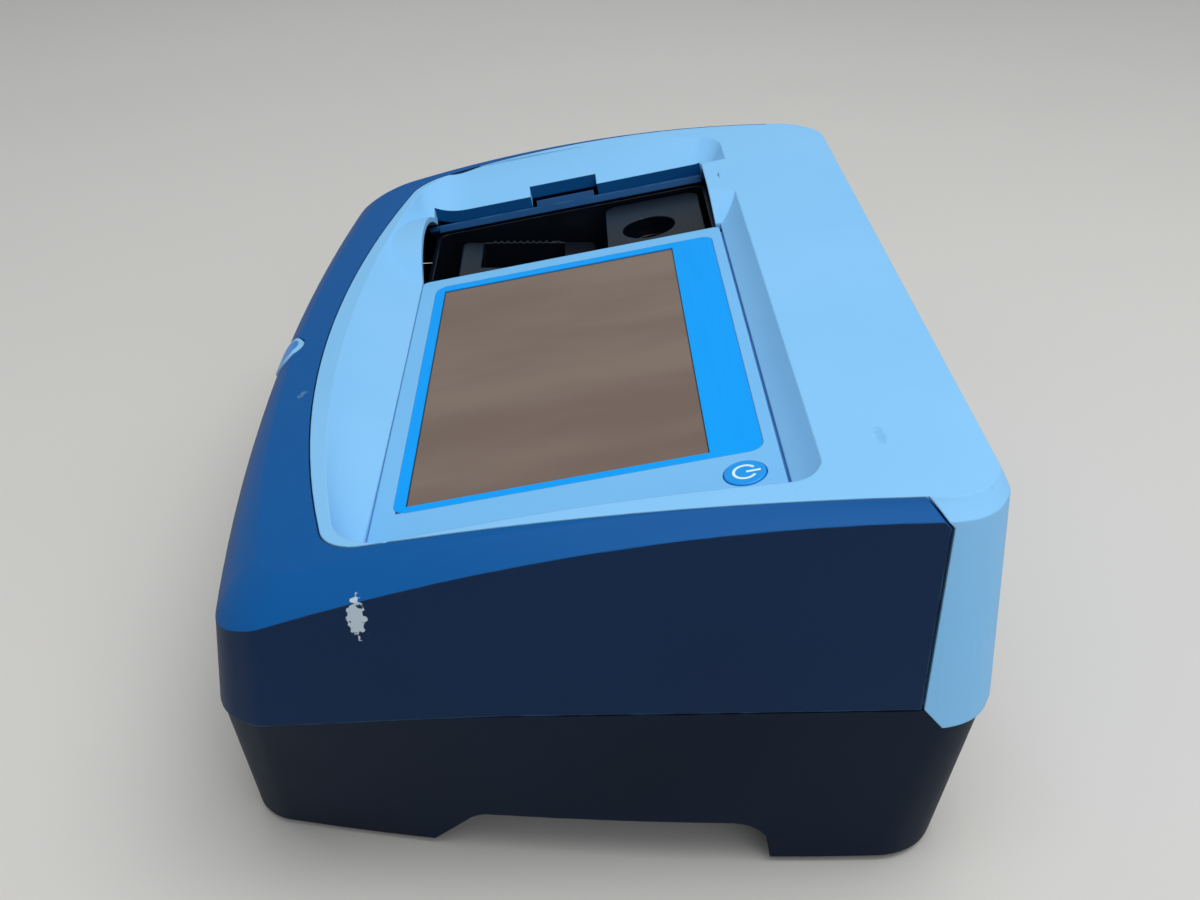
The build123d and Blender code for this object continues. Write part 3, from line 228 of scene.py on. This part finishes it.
def grime_specks(tree, at, colour):
    """Dark specks, a rubbed spot on the flat back and the dark cut faces over the shutter."""
    cells = add(tree, "ShaderNodeTexVoronoi", {}, {"Vector": at, "Scale": 1000 / 34, "Randomness": 1.0})
    speck = add(tree, "ShaderNodeMapRange", {}, {
        "Value": cells.outputs["Distance"], "From Min": 0.013, "From Max": 0.006, "To Max": 0.6})
    specked = add(tree, "ShaderNodeMix", {"data_type": "RGBA"}, {
        0: speck.outputs[0], 6: colour, 7: linear("#4E7FA8")})
    spot = patch_mask(tree, at, (134.0, 87.6, 151.0), (5.0, 1.6, 3.0), 1.1, 2.0)
    faint = add(tree, "ShaderNodeMath", {"operation": "MULTIPLY"}, {0: spot, 1: 0.3})
    spotted = add(tree, "ShaderNodeMix", {"data_type": "RGBA"}, {
        0: faint.outputs[0], 6: specked.outputs[2], 7: linear("#5F9BC9")})
    place = add(tree, "ShaderNodeSeparateXYZ", {}, {"Vector": at})
    facing = add(tree, "ShaderNodeSeparateXYZ", {}, {
        "Vector": add(tree, "ShaderNodeNewGeometry", {}, {}).outputs["True Normal"]})
    cut = add(tree, "ShaderNodeMath", {"operation": "COMPARE"}, {
        0: place.outputs["X"], 1: (cut_far + cut_near) / 2, 2: (cut_near - cut_far) / 2})
    turned = add(tree, "ShaderNodeMath", {"operation": "GREATER_THAN"}, {0: facing.outputs["X"], 1: 0.9})
    darkened = add(tree, "ShaderNodeMath", {"operation": "MULTIPLY"}, {
        0: cut.outputs[0], 1: turned.outputs[0]})
    return add(tree, "ShaderNodeMix", {"data_type": "RGBA"}, {
        0: darkened.outputs[0], 6: spotted.outputs[2], 7: linear("#03508A")}).outputs[2]


pale_moulding = moulded(
    "pale satin ABS", "#88C7F6", "#82C3F3", "#A4D8FC", 0.55, 0.55, 0.18, 0.5, grime_specks)
dress(pale_moulding, "face_cover")
pale_plate = moulded("pale satin ABS plate", "#7ABFF1", "#75BBEE", "#98D0F8", 0.55, 0.58, 0.16, 0.5)
dress(pale_plate, "screen_plate")

# Dark upper moulding, front and sides. The same satin plastic in deep blue. The band above the crease is
# painted lighter where it faces up, as painted light from above, and the walls under it stay near navy.
lit_band_colour, wall_colour = "#00579C", "#01264C"


def painted_top_light_and_scuffs(tree, at, colour):
    """Painted light on the band that faces up, a torn pale scuff on the right wall and small chips."""
    surface = add(tree, "ShaderNodeNewGeometry", {}, {})
    parts = add(tree, "ShaderNodeSeparateXYZ", {}, {"Vector": surface.outputs["Normal"]})
    # Painted light: faces turned up take the lighter band colour, as if lit from above.
    upward_painted_light = add(tree, "ShaderNodeMapRange", {"interpolation_type": "SMOOTHSTEP"}, {
        "Value": parts.outputs["Z"], "From Min": 0.12, "From Max": 0.75})
    painted_lit_band = add(tree, "ShaderNodeMix", {"data_type": "RGBA"}, {
        0: upward_painted_light.outputs[0], 6: colour, 7: linear(lit_band_colour)})
    scuff = patch_mask(tree, at, (174.3, -67.6, 115.2), (6.0, 2.6, 6.4), 2.2, 2.6)
    scuffed = add(tree, "ShaderNodeMix", {"data_type": "RGBA"}, {
        0: scuff, 6: painted_lit_band.outputs[2], 7: linear("#B9C9D6")})
    nick = patch_mask(tree, at, (47.0, -105.0, 120.0), (3.4, 2.4, 3.0), 1.3, 2.4)
    nicked = add(tree, "ShaderNodeMix", {"data_type": "RGBA"}, {
        0: nick, 6: scuffed.outputs[2], 7: linear("#4F7FA6")})
    return nicked.outputs[2]


dark_moulding = moulded(
    "deep blue satin ABS", wall_colour, "#012346", "#3C7FB4", 0.6, 0.5, 0.16, 0.55, painted_top_light_and_scuffs)
dress(dark_moulding, "upper_housing")

# Shutter. A curved ABS shell with its two end arms, a clearer blue than the walls and a little glossier.
shutter_material = moulded("deep blue satin shutter", "#02487E", "#024273", "#3C7FB4", 0.6, 0.46, 0.2, 0.4)
dress(shutter_material, "shutter_shell", "shutter_arm_front", "shutter_arm_rear")

# Tub. Near-black blue ABS moulding with a coarser grain, which carries the feet, the grips and the
# sockets. The door under the lamp and the socket panel are moulded from the same plastic.
tub_moulding = moulded("near-black satin ABS", "#02182F", "#021529", "#24506F", 0.7, 0.54, 0.12, 0.5)
dress(tub_moulding, "lower_housing", "lamp_door", "connector_panel")

# Feet. Moulded from soft black rubber and pressed into round seats in the tub. Dust and bloom make
# them matt and a little grey.
material, tree, output = fresh("soft black rubber")
at = add(tree, "ShaderNodeTexCoord", {}, {}).outputs["Object"]
bloom = add(tree, "ShaderNodeTexNoise", {}, {"Vector": at, "Scale": 1000 / 4, "Detail": 5.0})
dust = add(tree, "ShaderNodeMix", {"data_type": "RGBA"}, {
    0: bloom.outputs["Fac"], 6: linear("#17181A"), 7: linear("#2B2B2C")})
nap = add(tree, "ShaderNodeBump", {}, {"Height": bloom.outputs["Fac"], "Strength": 0.4, "Distance": 0.0001})
rubber = add(tree, "ShaderNodeBsdfPrincipled", {}, {
    "Base Color": dust.outputs[2], "Roughness": 0.82, "Specular IOR Level": 0.3, "Normal": nap.outputs[0]})
tree.links.new(rubber.outputs[0], output.inputs["Surface"])
dress(material, "foot_front_left", "foot_front_right", "foot_rear_left", "foot_rear_right")

# Azure foil frame. Polyester film printed from behind and stuck flush into the plate, with a faint
# orange-peel emboss and fine wiping scratches.
material, tree, output = fresh("azure printed polyester foil")
at = add(tree, "ShaderNodeTexCoord", {}, {}).outputs["Object"]
peel = add(tree, "ShaderNodeTexNoise", {}, {"Vector": at, "Scale": 1000 / 0.8, "Detail": 1.0})
wiped = add(tree, "ShaderNodeMapping", {}, {"Vector": at, "Scale": (1.0, 14.0, 1.0)})
wipes = add(tree, "ShaderNodeTexNoise", {}, {
    "Vector": wiped.outputs[0], "Scale": 1000 / 30, "Detail": 6.0})
ink = add(tree, "ShaderNodeMix", {"data_type": "RGBA"}, {
    0: wipes.outputs["Fac"], 6: linear("#00A4FF"), 7: linear("#009CF6")})
foil_gloss = add(tree, "ShaderNodeMapRange", {}, {
    "Value": wipes.outputs["Fac"], "To Min": 0.4, "To Max": 0.55})
foil_bump = add(tree, "ShaderNodeBump", {}, {
    "Height": peel.outputs["Fac"], "Strength": 0.25, "Distance": 0.00003})
foil = add(tree, "ShaderNodeBsdfPrincipled", {}, {
    "Base Color": ink.outputs[2], "Roughness": foil_gloss.outputs[0], "Specular IOR Level": 0.14,
    "Normal": foil_bump.outputs[0]})
tree.links.new(foil.outputs[0], output.inputs["Surface"])
dress(material, "overlay_frame")

# Touch glass. Float glass with a hard coat over the switched-off display. Its warm brown-grey base colour is
# a painted reflection of a brown room, with wiped smears and a few specks of dust.
material, tree, output = fresh("coated glass over a dark display")
at = add(tree, "ShaderNodeTexCoord", {}, {}).outputs["Object"]
smear_map = add(tree, "ShaderNodeMapping", {}, {
    "Vector": at, "Rotation": (0, 0, math.radians(38)), "Scale": (1.0, 0.22, 1.0)})
smears = add(tree, "ShaderNodeTexNoise", {}, {
    "Vector": smear_map.outputs[0], "Scale": 1000 / 42, "Detail": 3.0})
smear_range = add(tree, "ShaderNodeMapRange", {"interpolation_type": "SMOOTHSTEP"}, {
    "Value": smears.outputs["Fac"], "From Min": 0.35, "From Max": 0.68})
# Painted reflection: the base colour is a warm brown standing for the room's reflection, varied by the
# smears.
painted_reflection_tone = add(tree, "ShaderNodeMix", {"data_type": "RGBA"}, {
    0: smear_range.outputs[0], 6: linear("#715F55"), 7: linear("#7E6D61")})
dust_cells = add(tree, "ShaderNodeTexVoronoi", {}, {"Vector": at, "Scale": 1000 / 26})
dust_specks = add(tree, "ShaderNodeMapRange", {}, {
    "Value": dust_cells.outputs["Distance"], "From Min": 0.014, "From Max": 0.007, "To Max": 0.8})
dusted = add(tree, "ShaderNodeMix", {"data_type": "RGBA"}, {
    0: dust_specks.outputs[0], 6: painted_reflection_tone.outputs[2], 7: linear("#C8C0B4")})
glass_gloss = add(tree, "ShaderNodeMapRange", {}, {
    "Value": smears.outputs["Fac"], "To Min": 0.08, "To Max": 0.13})
glass = add(tree, "ShaderNodeBsdfPrincipled", {}, {
    "Base Color": dusted.outputs[2], "Roughness": glass_gloss.outputs[0], "IOR": 1.5,
    "Coat Weight": 0.4, "Coat Roughness": 0.03})
tree.links.new(glass.outputs[0], output.inputs["Surface"])
dress(material, "touch_glass")

# Power key. A separate moulded azure button with a rounded rim, in its hole in the plate. The standby
# sign is printed on it in white and rides down with it.
material, tree, output = fresh("azure key cap")
at = add(tree, "ShaderNodeTexCoord", {}, {}).outputs["Object"]
key_noise = add(tree, "ShaderNodeTexNoise", {}, {"Vector": at, "Scale": 1000 / 5, "Detail": 4.0})
key_tone = add(tree, "ShaderNodeMix", {"data_type": "RGBA"}, {
    0: key_noise.outputs["Fac"], 6: linear("#0A9DF2"), 7: linear("#0693E6")})
key_round = add(tree, "ShaderNodeBevel", {"samples": 6}, {"Radius": 0.0004})
cap = add(tree, "ShaderNodeBsdfPrincipled", {}, {
    "Base Color": key_tone.outputs[2], "Roughness": 0.34, "Specular IOR Level": 0.45,
    "Normal": key_round.outputs[0]})
tree.links.new(cap.outputs[0], output.inputs["Surface"])
dress(material, "power_key")

panel_tilt = math.radians(11.4)
panel_origin = Vector((0.0, -0.0105, 0.126))
up_slope = Vector((0.0, math.cos(panel_tilt), math.sin(panel_tilt)))
panel_normal = Vector((0.0, -math.sin(panel_tilt), math.cos(panel_tilt)))


def on_panel(x, s, n):
    """Point given in millimetres along the panel, up its slope and above it."""
    return panel_origin + Vector((x / 1000, 0, 0)) + up_slope * (s / 1000) + panel_normal * (n / 1000)


def piece(name, work, material, body):
    """Makes an object from mesh work and lets it ride on a body."""
    mesh = bpy.data.meshes.new(name)
    bmesh.ops.recalc_face_normals(work, faces=work.faces)
    work.to_mesh(mesh)
    work.free()
    made = bpy.data.objects.new(name, mesh)
    mesh.materials.append(material)
    bpy.context.scene.collection.objects.link(made)
    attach(made, body)
    return made


def oblong(x0, x1, s0, s1):
    return [(x0, s0), (x1, s0), (x1, s1), (x0, s1)]


def raise_flat(work, outline, place, low, high):
    """Solid between two heights from a closed outline in millimetres, put in place by a function."""
    bottom = [work.verts.new(place(x, s, low)) for x, s in outline]
    top = [work.verts.new(place(x, s, high)) for x, s in outline]
    work.faces.new(bottom[::-1])
    work.faces.new(top)
    for i in range(len(outline)):
        j = (i + 1) % len(outline)
        work.faces.new((bottom[i], bottom[j], top[j], top[i]))


material, tree, output = fresh("white screen ink")
at = add(tree, "ShaderNodeTexCoord", {}, {}).outputs["Object"]
ink_noise = add(tree, "ShaderNodeTexNoise", {}, {"Vector": at, "Scale": 1000 / 0.9, "Detail": 3.0})
ink_tone = add(tree, "ShaderNodeMix", {"data_type": "RGBA"}, {
    0: ink_noise.outputs["Fac"], 6: linear("#E4FBFD"), 7: linear("#D2F0F8")})
white = add(tree, "ShaderNodeBsdfPrincipled", {}, {"Base Color": ink_tone.outputs[2], "Roughness": 0.42})
tree.links.new(white.outputs[0], output.inputs["Surface"])
white_ink = material

key_x, key_s, key_top = 134.0, 59.2, 0.5
ink_low, ink_high = key_top - 0.05, key_top + 0.06
ring_out, ring_in, ring_gap = 3.95, 3.05, math.radians(34)
bar_half, bar_low, bar_high = 0.48, 0.4, 4.9
ring_steps = 40
turns = [ring_gap + (2 * math.pi - 2 * ring_gap) * i / ring_steps for i in range(ring_steps + 1)]
outer_arc = [(key_x + ring_out * math.sin(a), key_s + ring_out * math.cos(a)) for a in turns]
inner_arc = [(key_x + ring_in * math.sin(a), key_s + ring_in * math.cos(a)) for a in turns]
work = bmesh.new()
raise_flat(work, outer_arc + inner_arc[::-1], on_panel, ink_low, ink_high)
raise_flat(work, oblong(key_x - bar_half, key_x + bar_half, key_s + bar_low, key_s + bar_high),
           on_panel, ink_low, ink_high)
piece("key_standby_sign", work, white_ink, "power_key")

# Dark line round the glass. A thin dark strip laid round the glass's edge as a painted shadow gap, matt
# and a little uneven in tone.
material, tree, output = fresh("painted shadow gap")
at = add(tree, "ShaderNodeTexCoord", {}, {}).outputs["Object"]
seam_noise = add(tree, "ShaderNodeTexNoise", {}, {"Vector": at, "Scale": 1000 / 3, "Detail": 2.0})
shadow_gap_tone = add(tree, "ShaderNodeMix", {"data_type": "RGBA"}, {
    0: seam_noise.outputs["Fac"], 6: linear("#16222E"), 7: linear("#2A2A2E")})
seam = add(tree, "ShaderNodeBsdfPrincipled", {}, {"Base Color": shadow_gap_tone.outputs[2], "Roughness": 0.6})
tree.links.new(seam.outputs[0], output.inputs["Surface"])
glass_x, glass_half_w, glass_half_h = 36.0, 82.8, 49.75
seam_w, seam_low, seam_high = 0.38, -0.57, -0.48
# Painted shadow: this dark strip stands for the shade in the gap round the glass.
work = bmesh.new()
corners = [(-1, -1), (1, -1), (1, 1), (-1, 1)]
for (ax, ay), (bx, by) in zip(corners, corners[1:] + corners[:1]):
    w, h = glass_half_w, glass_half_h
    outline = [(glass_x + ax * w, ay * h), (glass_x + bx * w, by * h),
               (glass_x + bx * (w - seam_w), by * (h - seam_w)),
               (glass_x + ax * (w - seam_w), ay * (h - seam_w))]
    raise_flat(work, outline, on_panel, seam_low, seam_high)
piece("display_shadow_gap", work, material, "frame")

# Badge. A round printed disc under a skin of clear resin, let into the front bulge. It is left blank:
# azure with a paler rim.
material, tree, output = fresh("azure disc under clear resin")
at = add(tree, "ShaderNodeTexCoord", {}, {}).outputs["Object"]
badge_low, badge_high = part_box("badge")
badge_centre = (badge_low + badge_high) / 2
badge_radius = (badge_high.x - badge_low.x) / 2
from_centre = add(tree, "ShaderNodeVectorMath", {"operation": "DISTANCE"}, {
    0: at, 1: tuple(badge_centre)})
rim = add(tree, "ShaderNodeMapRange", {"interpolation_type": "SMOOTHSTEP"}, {
    "Value": from_centre.outputs["Value"], "From Min": badge_radius * 0.86, "From Max": badge_radius * 0.92})
cloud = add(tree, "ShaderNodeTexNoise", {}, {"Vector": at, "Scale": 1000 / 6, "Detail": 3.0})
disc = add(tree, "ShaderNodeMix", {"data_type": "RGBA"}, {
    0: cloud.outputs["Fac"], 6: linear("#2190E6"), 7: linear("#1A80D6")})
ringed = add(tree, "ShaderNodeMix", {"data_type": "RGBA"}, {
    0: rim.outputs[0], 6: disc.outputs[2], 7: linear("#8CC6F0")})
badge_round = add(tree, "ShaderNodeBevel", {"samples": 6}, {"Radius": 0.0006})
resin = add(tree, "ShaderNodeBsdfPrincipled", {}, {
    "Base Color": ringed.outputs[2], "Roughness": 0.4, "Specular IOR Level": 0.2,
    "Coat Weight": 0.1, "Coat Roughness": 0.1, "Normal": badge_round.outputs[0]})
tree.links.new(resin.outputs[0], output.inputs["Surface"])
dress(material, "badge")

# Cell compartment. Liner, holder, round-cell block and cup are black mouldings with a faint blue cast.
# The cup is polished, and the others are satin so that they throw little stray light.
# Painted highlight: the paler rubbed colour on their edges stands partly for wear and partly for the
# highlights along the top edges.
compartment_black = moulded(
    "black compartment moulding", "#040A13", "#060D17", "#2E5A7C", 0.5, 0.32, 0.4, 0.35)
dress(compartment_black, "cell_tray", "cuvette_carrier", "round_cell_block")
rotor_black = moulded("black polished cup", "#04070C", "#070A10", "#35536B", 0.4, 0.2, 0.5, 0.3)
dress(rotor_black, "cell_rotor")

# Moulded marks on the holder. A row of low bars and an arrow beside the slot show which way the
# measuring beam crosses an oblong cell.
carrier_low, carrier_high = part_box("cuvette_carrier")
carrier_top = carrier_high.z * 1000


def on_carrier(x, y, n):
    """Point in millimetres over the holder's level top."""
    return Vector((x / 1000, y / 1000, (carrier_top + n) / 1000))


mark_count, mark_first, mark_pitch, mark_w = 9, -42.0, 3.1, 1.5
mark_x, mark_half = -121.2, 0.9
mark_sunk, mark_proud = -0.3, 0.25
arrow_y, shaft_half, head_half = -12.5, 0.35, 1.1
shaft_end, head_foot, head_tip = arrow_y - 1.5, arrow_y + 1.2, arrow_y + 3.4
work = bmesh.new()
for i in range(mark_count):
    y = mark_first + mark_pitch * i
    raise_flat(work, oblong(mark_x - mark_half, mark_x + mark_half, y, y + mark_w), on_carrier,
               mark_sunk, mark_proud)
arrow = [(-shaft_half, shaft_end), (shaft_half, shaft_end), (shaft_half, head_foot), (head_half, head_foot),
         (0, head_tip), (-head_half, head_foot), (-shaft_half, head_foot)]
raise_flat(work, [(mark_x + x, y) for x, y in arrow], on_carrier, mark_sunk, mark_proud)
mark_black = moulded("raised black marks", "#0B1016", "#0E141B", "#2E4150", 0.4, 0.45, 0.4, 0.4)
piece("holder_marks", work, mark_black, "frame")

# Black mouldings behind the covers and at the back: display module, pivot brackets, inlet, rocker and its
# bezel. Glass-filled nylon, satin and nearly neutral.
plain_black = moulded("black glass-filled nylon", "#0B0C0E", "#101114", "#3A3C40", 0.5, 0.42, 0.4, 0.4)
dress(plain_black, "display_module", "pivot_bracket_front", "pivot_bracket_rear", "dc_inlet", "rocker_frame",
      "rocker")


# Metals inside and at the back. Each is a cast, drawn, ground or cut surface with its own lay, which
# shows as fine streaks in the gloss, drawn coarser than they are.
def metal(name, tint, stain, dull, lay_mm, stretch, depth_mm):
    """Metal with a directional or even lay, a stain that drifts over it and a bump for its texture."""
    material, tree, output = fresh(name)
    at = add(tree, "ShaderNodeTexCoord", {}, {}).outputs["Object"]
    drawn = add(tree, "ShaderNodeMapping", {}, {"Vector": at, "Scale": stretch})
    lay = add(tree, "ShaderNodeTexNoise", {}, {
        "Vector": drawn.outputs[0], "Scale": 1000 / lay_mm, "Detail": 3.0})
    drift = add(tree, "ShaderNodeTexNoise", {}, {"Vector": at, "Scale": 1000 / 22, "Detail": 3.0})
    tone = add(tree, "ShaderNodeMix", {"data_type": "RGBA"}, {
        0: drift.outputs["Fac"], 6: linear(tint), 7: linear(stain)})
    gloss = add(tree, "ShaderNodeMapRange", {}, {
        "Value": lay.outputs["Fac"], "To Min": dull - 0.08, "To Max": dull + 0.08})
    bump = add(tree, "ShaderNodeBump", {}, {
        "Height": lay.outputs["Fac"], "Strength": 0.4, "Distance": depth_mm / 1000})
    skin = add(tree, "ShaderNodeBsdfPrincipled", {}, {
        "Base Color": tone.outputs[2], "Metallic": 1.0, "Roughness": gloss.outputs[0],
        "Normal": bump.outputs[0]})
    tree.links.new(skin.outputs[0], output.inputs["Surface"])
    return material


zinc_sheet = metal("zinc-plated sheet", "#B9BEC2", "#A3A9AF", 0.38, 2.5, (1.0, 1.0, 1.0), 0.02)
dress(zinc_sheet, "display_bracket")
ground_steel = metal("ground steel pin", "#C4C6C8", "#B0B3B6", 0.22, 0.5, (1.0, 8.0, 1.0), 0.01)
dress(ground_steel, "rocker_pin")
oxide_steel = metal("black-oxide steel pin", "#2B2D31", "#202225", 0.3, 0.5, (1.0, 8.0, 1.0), 0.01)
dress(oxide_steel, "pivot_pin_front", "pivot_pin_rear")
cast_alloy = metal("dark anodised casting", "#4A4E54", "#3D4147", 0.5, 1.2, (1.0, 1.0, 1.0), 0.05)
dress(cast_alloy, "optics_base", "lamp_house", "filter_wheel", "entrance_slit", "beam_lens")
motor_can = metal("plated motor can", "#9EA3A8", "#888D93", 0.3, 0.8, (1.0, 1.0, 10.0), 0.01)
dress(motor_can, "rotor_motor", "filter_motor", "grating_motor")
cut_brass = metal("cut brass", "#D9B45E", "#C29C4A", 0.28, 0.4, (1.0, 1.0, 6.0), 0.01)
dress(cut_brass, "rotor_pinion", "grating_pinion")
tinned_shell = metal("tinned socket shell", "#C9CBCC", "#B6B9BB", 0.26, 0.9, (1.0, 5.0, 1.0), 0.01)
dress(tinned_shell, "lan_socket", "usb_b_socket", "usb_a_low", "usb_a_high")
front_mirror = metal("front-coated mirror", "#D5DADF", "#CBD1D7", 0.1, 0.2, (1.0, 40.0, 1.0), 0.002)
dress(front_mirror, "grating", "collimator")

# Large gears. Cut from natural acetal and unpainted, waxy white and a little yellow with age.
natural_acetal = moulded("natural acetal", "#E6E2D4", "#DDD8C8", "#F2EFE6", 0.5, 0.36, 0.5, 0.3)
dress(natural_acetal, "rotor_gear", "grating_table")

# Circuit boards. Glass-epoxy laminate under green lacquer, with etched tracks on a grid of 2.54 mm that
# stand up a little under the lacquer.
material, tree, output = fresh("green lacquered laminate")
at = add(tree, "ShaderNodeTexCoord", {}, {}).outputs["Object"]
tracks = add(tree, "ShaderNodeTexBrick", {"offset": 0.35}, {
    "Vector": at, "Color1": linear("#0F5A33"), "Color2": linear("#0C4A2B"), "Mortar": linear("#2F8450"),
    "Scale": 1000 / 5.08, "Mortar Size": 0.04, "Brick Width": 1.0, "Row Height": 0.5})
board_noise = add(tree, "ShaderNodeTexNoise", {}, {"Vector": at, "Scale": 1000 / 7, "Detail": 3.0})
board_gloss = add(tree, "ShaderNodeMapRange", {}, {
    "Value": board_noise.outputs["Fac"], "To Min": 0.22, "To Max": 0.4})
board_bump = add(tree, "ShaderNodeBump", {}, {
    "Height": tracks.outputs["Fac"], "Strength": 0.3, "Distance": 0.00005})
lacquer = add(tree, "ShaderNodeBsdfPrincipled", {}, {
    "Base Color": tracks.outputs["Color"], "Roughness": board_gloss.outputs[0],
    "Normal": board_bump.outputs[0]})
tree.links.new(lacquer.outputs[0], output.inputs["Surface"])
dress(material, "main_board", "key_board", "sample_detector", "reference_detector", "power_board",
      "interface_board")

# Lamp. Quartz bulb on a white ceramic base, clear above and chalky where it is cemented.
material, tree, output = fresh("quartz and ceramic lamp")
at = add(tree, "ShaderNodeTexCoord", {}, {}).outputs["Object"]
height_of = add(tree, "ShaderNodeSeparateXYZ", {}, {"Vector": at})
lamp_low, lamp_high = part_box("halogen_lamp")
base_top = lamp_low.z + 0.55 * (lamp_high.z - lamp_low.z)
clear = add(tree, "ShaderNodeMapRange", {}, {
    "Value": height_of.outputs["Z"], "From Min": base_top, "From Max": base_top + 0.001, "To Max": 0.85})
chalk = add(tree, "ShaderNodeTexNoise", {}, {"Vector": at, "Scale": 1000 / 3, "Detail": 4.0})
ceramic = add(tree, "ShaderNodeMix", {"data_type": "RGBA"}, {
    0: chalk.outputs["Fac"], 6: linear("#EDEAE2"), 7: linear("#DAD5C9")})
quartz = add(tree, "ShaderNodeBsdfPrincipled", {}, {
    "Base Color": ceramic.outputs[2], "Roughness": 0.12, "IOR": 1.46,
    "Transmission Weight": clear.outputs[0]})
tree.links.new(quartz.outputs[0], output.inputs["Surface"])
dress(material, "halogen_lamp")


# Screws. Pan heads of blackened steel with a cross recess, four on the socket panel, one in the lamp
# door and four in the bottom of the tub.
head_steps = 24


def screw(work, centre, out, radius, height):
    """Domed head with a sunk cross, in metres. It faces the direction out."""
    out = Vector(out).normalized()
    side = out.cross(Vector((0.3, 0.2, 1.0))).normalized()
    other = out.cross(side)
    rings = []
    for share, lift in ((1.0, -0.4), (1.0, 0.35), (0.86, 0.72), (0.6, 0.93), (0.3, 1.0)):
        ring = []
        for i in range(head_steps):
            a = 2 * math.pi * i / head_steps
            arm = abs(math.sin(2 * (a + math.pi / 4)))
            sunk = 0.55 if share <= 0.6 and i % (head_steps // 4) == 0 else 0.0
            lift_here = lift - sunk - (0.1 * arm if share <= 0.3 else 0.0)
            spoke = side * math.cos(a) + other * math.sin(a)
            ring.append(work.verts.new(Vector(centre) + spoke * radius * share + out * height * lift_here))
        rings.append(ring)
    for low, high in zip(rings, rings[1:]):
        for i in range(head_steps):
            j = (i + 1) % head_steps
            work.faces.new((low[i], low[j], high[j], high[i]))
    centre_vert = work.verts.new(Vector(centre) + out * height * 0.35)
    for i in range(head_steps):
        work.faces.new((rings[-1][i], rings[-1][(i + 1) % head_steps], centre_vert))


black_screw_steel = metal("blackened screw steel", "#2A2C30", "#1E2023", 0.34, 0.5, (1.0, 1.0, 1.0), 0.01)
panel_low, panel_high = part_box("connector_panel")
panel_inset_x, panel_inset_z = 0.0075, 0.004
work = bmesh.new()
for x in (panel_low.x + panel_inset_x, panel_high.x - panel_inset_x):
    for z in (panel_low.z + panel_inset_z, panel_high.z - panel_inset_z):
        screw(work, (x, panel_high.y, z), (0, 1, 0), 0.0026, 0.0016)
piece("panel_screws", work, black_screw_steel, "frame")

door_low, door_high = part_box("lamp_door")
tub_low, tub_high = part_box("lower_housing")
door_x, door_y = (door_low.x + door_high.x) / 2, (door_low.y + door_high.y) / 2
work = bmesh.new()
screw(work, (door_x + 0.017, door_y, door_low.z + 0.0014), (0, 0, -1), 0.0028, 0.0014)
for x, y in ((-0.040, -0.058), (0.112, -0.058), (-0.040, 0.060), (0.112, 0.060)):
    screw(work, (x, y, tub_low.z + 0.0002), (0, 0, -1), 0.0036, 0.0013)
piece("bottom_screws", work, black_screw_steel, "frame")

# Socket contacts. Gold-plated springs, eight in the network socket and four on the tongue of each of
# the others.
gold_plate = metal("gold-plated spring", "#E7C46A", "#D3AC50", 0.2, 0.3, (1.0, 1.0, 1.0), 0.004)
lan_low, lan_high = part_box("lan_socket")
lan_x, lan_z = (lan_low.x + lan_high.x) / 2 * 1000, (lan_low.z + lan_high.z) / 2 * 1000
mouth_y = lan_high.y * 1000
lan_pitch, usb_pitch = 1.02, 2.4


def at_back(x, z, y):
    """Point in millimetres behind the mouths of the sockets."""
    return Vector((x / 1000, y / 1000, z / 1000))


work = bmesh.new()
for i in range(8):
    x = lan_x + lan_pitch * (i - 3.5)
    raise_flat(work, oblong(x - 0.2, x + 0.2, lan_z + 0.75, lan_z + 1.25), at_back,
               mouth_y - 8.4, mouth_y - 4.0)
for name in ("usb_a_low", "usb_a_high"):
    low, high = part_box(name)
    x0, z0 = (low.x + high.x) / 2 * 1000, (low.z + high.z) / 2 * 1000
    for i in range(4):
        x = x0 + usb_pitch * (i - 1.5)
        raise_flat(work, oblong(x - 0.5, x + 0.5, z0 - 0.12, z0 + 0.05), at_back,
                   mouth_y - 8.0, mouth_y - 1.8)
low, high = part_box("usb_b_socket")
x0, z0 = (low.x + high.x) / 2 * 1000, (low.z + high.z) / 2 * 1000
for dx in (-1.3, 1.3):
    for dz in (-1.7, 1.6):
        x, z = x0 + dx, z0 + dz
        raise_flat(work, oblong(x - 0.4, x + 0.4, z - 0.05, z + 0.15), at_back,
                   mouth_y - 8.0, mouth_y - 1.6)
piece("socket_contacts", work, gold_plate, "frame")

for name in nodes:
    shade(name)
